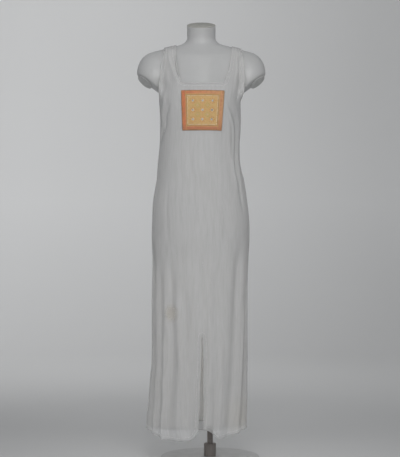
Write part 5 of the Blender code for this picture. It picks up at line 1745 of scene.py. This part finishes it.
studio = {
    "floorColour": (0.80, 0.80, 0.795, 1.0),
    "paintedShadeColour": (0.58, 0.58, 0.576, 1.0),  # painted shade of the backdrop, darker low down and to the right
    "paintedNearShadeColour": (0.56, 0.56, 0.556, 1.0),   # painted shade of the floor around and behind the stand
    "cameraPlace": (-0.0044, -4.4, 0.8035),
    "lens": 99.03,
    "worldColour": (0.80, 0.82, 0.85, 1.0),
    "worldStrength": 0.42,
    "floorReach": 9.0,        # to the front and to both sides
    "bendStart": 3.4,         # where the floor starts to rise into the backdrop
    "bendRadius": 2.2,
    "wallHeight": 6.5,
    "lights": (
        # name, place, aimed at, size, power, spread in degrees
        ("frontKey", (0.10, -1.7, 1.38), (0.0, 0.0, 1.12), 1.0, 10.2, 180),
        ("highFront", (0.10, -2.2, 3.1), (0.0, 0.0, 1.40), 0.7, 5.0, 180),
        ("leftFill", (-2.1, -3.2, 2.3), (0.0, 0.0, 1.4), 2.0, 14.6, 180),
        ("rightFill", (2.1, -3.2, 2.3), (0.0, 0.0, 1.4), 2.0, 14.6, 180),
        ("topSoft", (0.0, 0.8, 3.4), (0.0, 0.0, 0.6), 2.6, 2.0, 180),
        ("backFill", (0.0, 2.4, 1.15), (0.0, 0.0, 0.72), 1.0, 4.1, 50),
        ("backSoft", (-0.6, 1.8, 3.0), (-0.3, 5.6, 1.5), 2.4, 43.0, 180),
        ("backdropGlow", (-3.2, 3.6, 1.7), (-1.3, 5.4, 1.9), 1.0, 5.0, 180),
    ),
}


def makeStudio():
    bendStart, bendRadius = studio["bendStart"], studio["bendRadius"]
    turns = [math.radians(angle) for angle in range(5, 95, 5)]
    profile = [(-studio["floorReach"], 0.0), (bendStart, 0.0)]
    profile += [(bendStart + bendRadius * math.sin(turn), bendRadius * (1 - math.cos(turn)))
                for turn in turns]
    profile.append((bendStart + bendRadius, studio["wallHeight"]))
    mesh = bpy.data.meshes.new("studioFloor")
    verts = [(x, y, z) for y, z in profile for x in (-studio["floorReach"], studio["floorReach"])]
    mesh.from_pydata(verts, [], [(2 * k, 2 * k + 1, 2 * k + 3, 2 * k + 2) for k in range(len(profile) - 1)])
    mesh.shade_smooth()
    finish, tree, shader = newFinish("paleFloor", {"Roughness": 0.9, "Specular IOR Level": 0.1})
    place = ownPlace(tree)
    parts = node(tree, "SeparateXYZ", {}, {"Vector": place}).outputs
    # painted shade: the backdrop and floor darker to the right and low down, with a little random unevenness
    rightShade = ramp(tree, parts["X"], 0.0, 0.6, -1.35, 1.35)
    lowShade = ramp(tree, parts["Z"], 0.75, 0.0, -0.5, 1.0)
    uneven = ramp(tree, noise(tree, place, 0.7, 2.0), -0.05, 0.05)
    drift = sums(tree, "ADD", sums(tree, "ADD", rightShade, lowShade), uneven)
    tint = blendColour(tree, drift, studio["floorColour"], studio["paintedShadeColour"])
    # painted shade: the floor darker around and behind the stand
    nearShade = sums(tree, "MULTIPLY", ramp(tree, parts["Y"], 1.0, 0.0, 0.4, studio["bendStart"]),
                    ramp(tree, parts["Y"], 0.0, 1.0, -1.8, 0.2))
    tint = blendColour(tree, nearShade, tint, studio["paintedNearShadeColour"])
    tree.links.new(tint, shader.inputs["Base Color"])
    room = bpy.context.scene
    floor = bpy.data.objects.new("studioFloor", mesh)
    room.collection.objects.link(floor)
    mesh.materials.append(finish)
    for name, at, aim, size, power, spread in studio["lights"]:
        light = bpy.data.lights.new(name, "AREA")
        light.shape = "SQUARE"
        light.size = size
        light.energy = power
        light.spread = math.radians(spread)
        lamp = bpy.data.objects.new(name, light)
        lamp.visible_camera = False
        lamp.visible_glossy = name != "backFill"  # no glare on the base
        lamp.location = at
        lamp.rotation_euler = (Vector(aim) - Vector(at)).to_track_quat("-Z", "Y").to_euler()
        room.collection.objects.link(lamp)
    world = bpy.data.worlds.new("softRoom")
    world.use_nodes = True
    sky = world.node_tree.nodes["Background"].inputs
    sky["Color"].default_value = studio["worldColour"]
    sky["Strength"].default_value = studio["worldStrength"]
    room.world = world
    camera = bpy.data.cameras.new("camera")
    camera.lens = studio["lens"]
    camera.sensor_width = 36.0
    view = bpy.data.objects.new("camera", camera)
    view.location = studio["cameraPlace"]
    view.rotation_euler = (math.radians(90), 0.0, 0.0)
    room.collection.objects.link(view)
    room.camera = view
    room.view_settings.view_transform = "Standard"


makeStudio()
print("studio made")
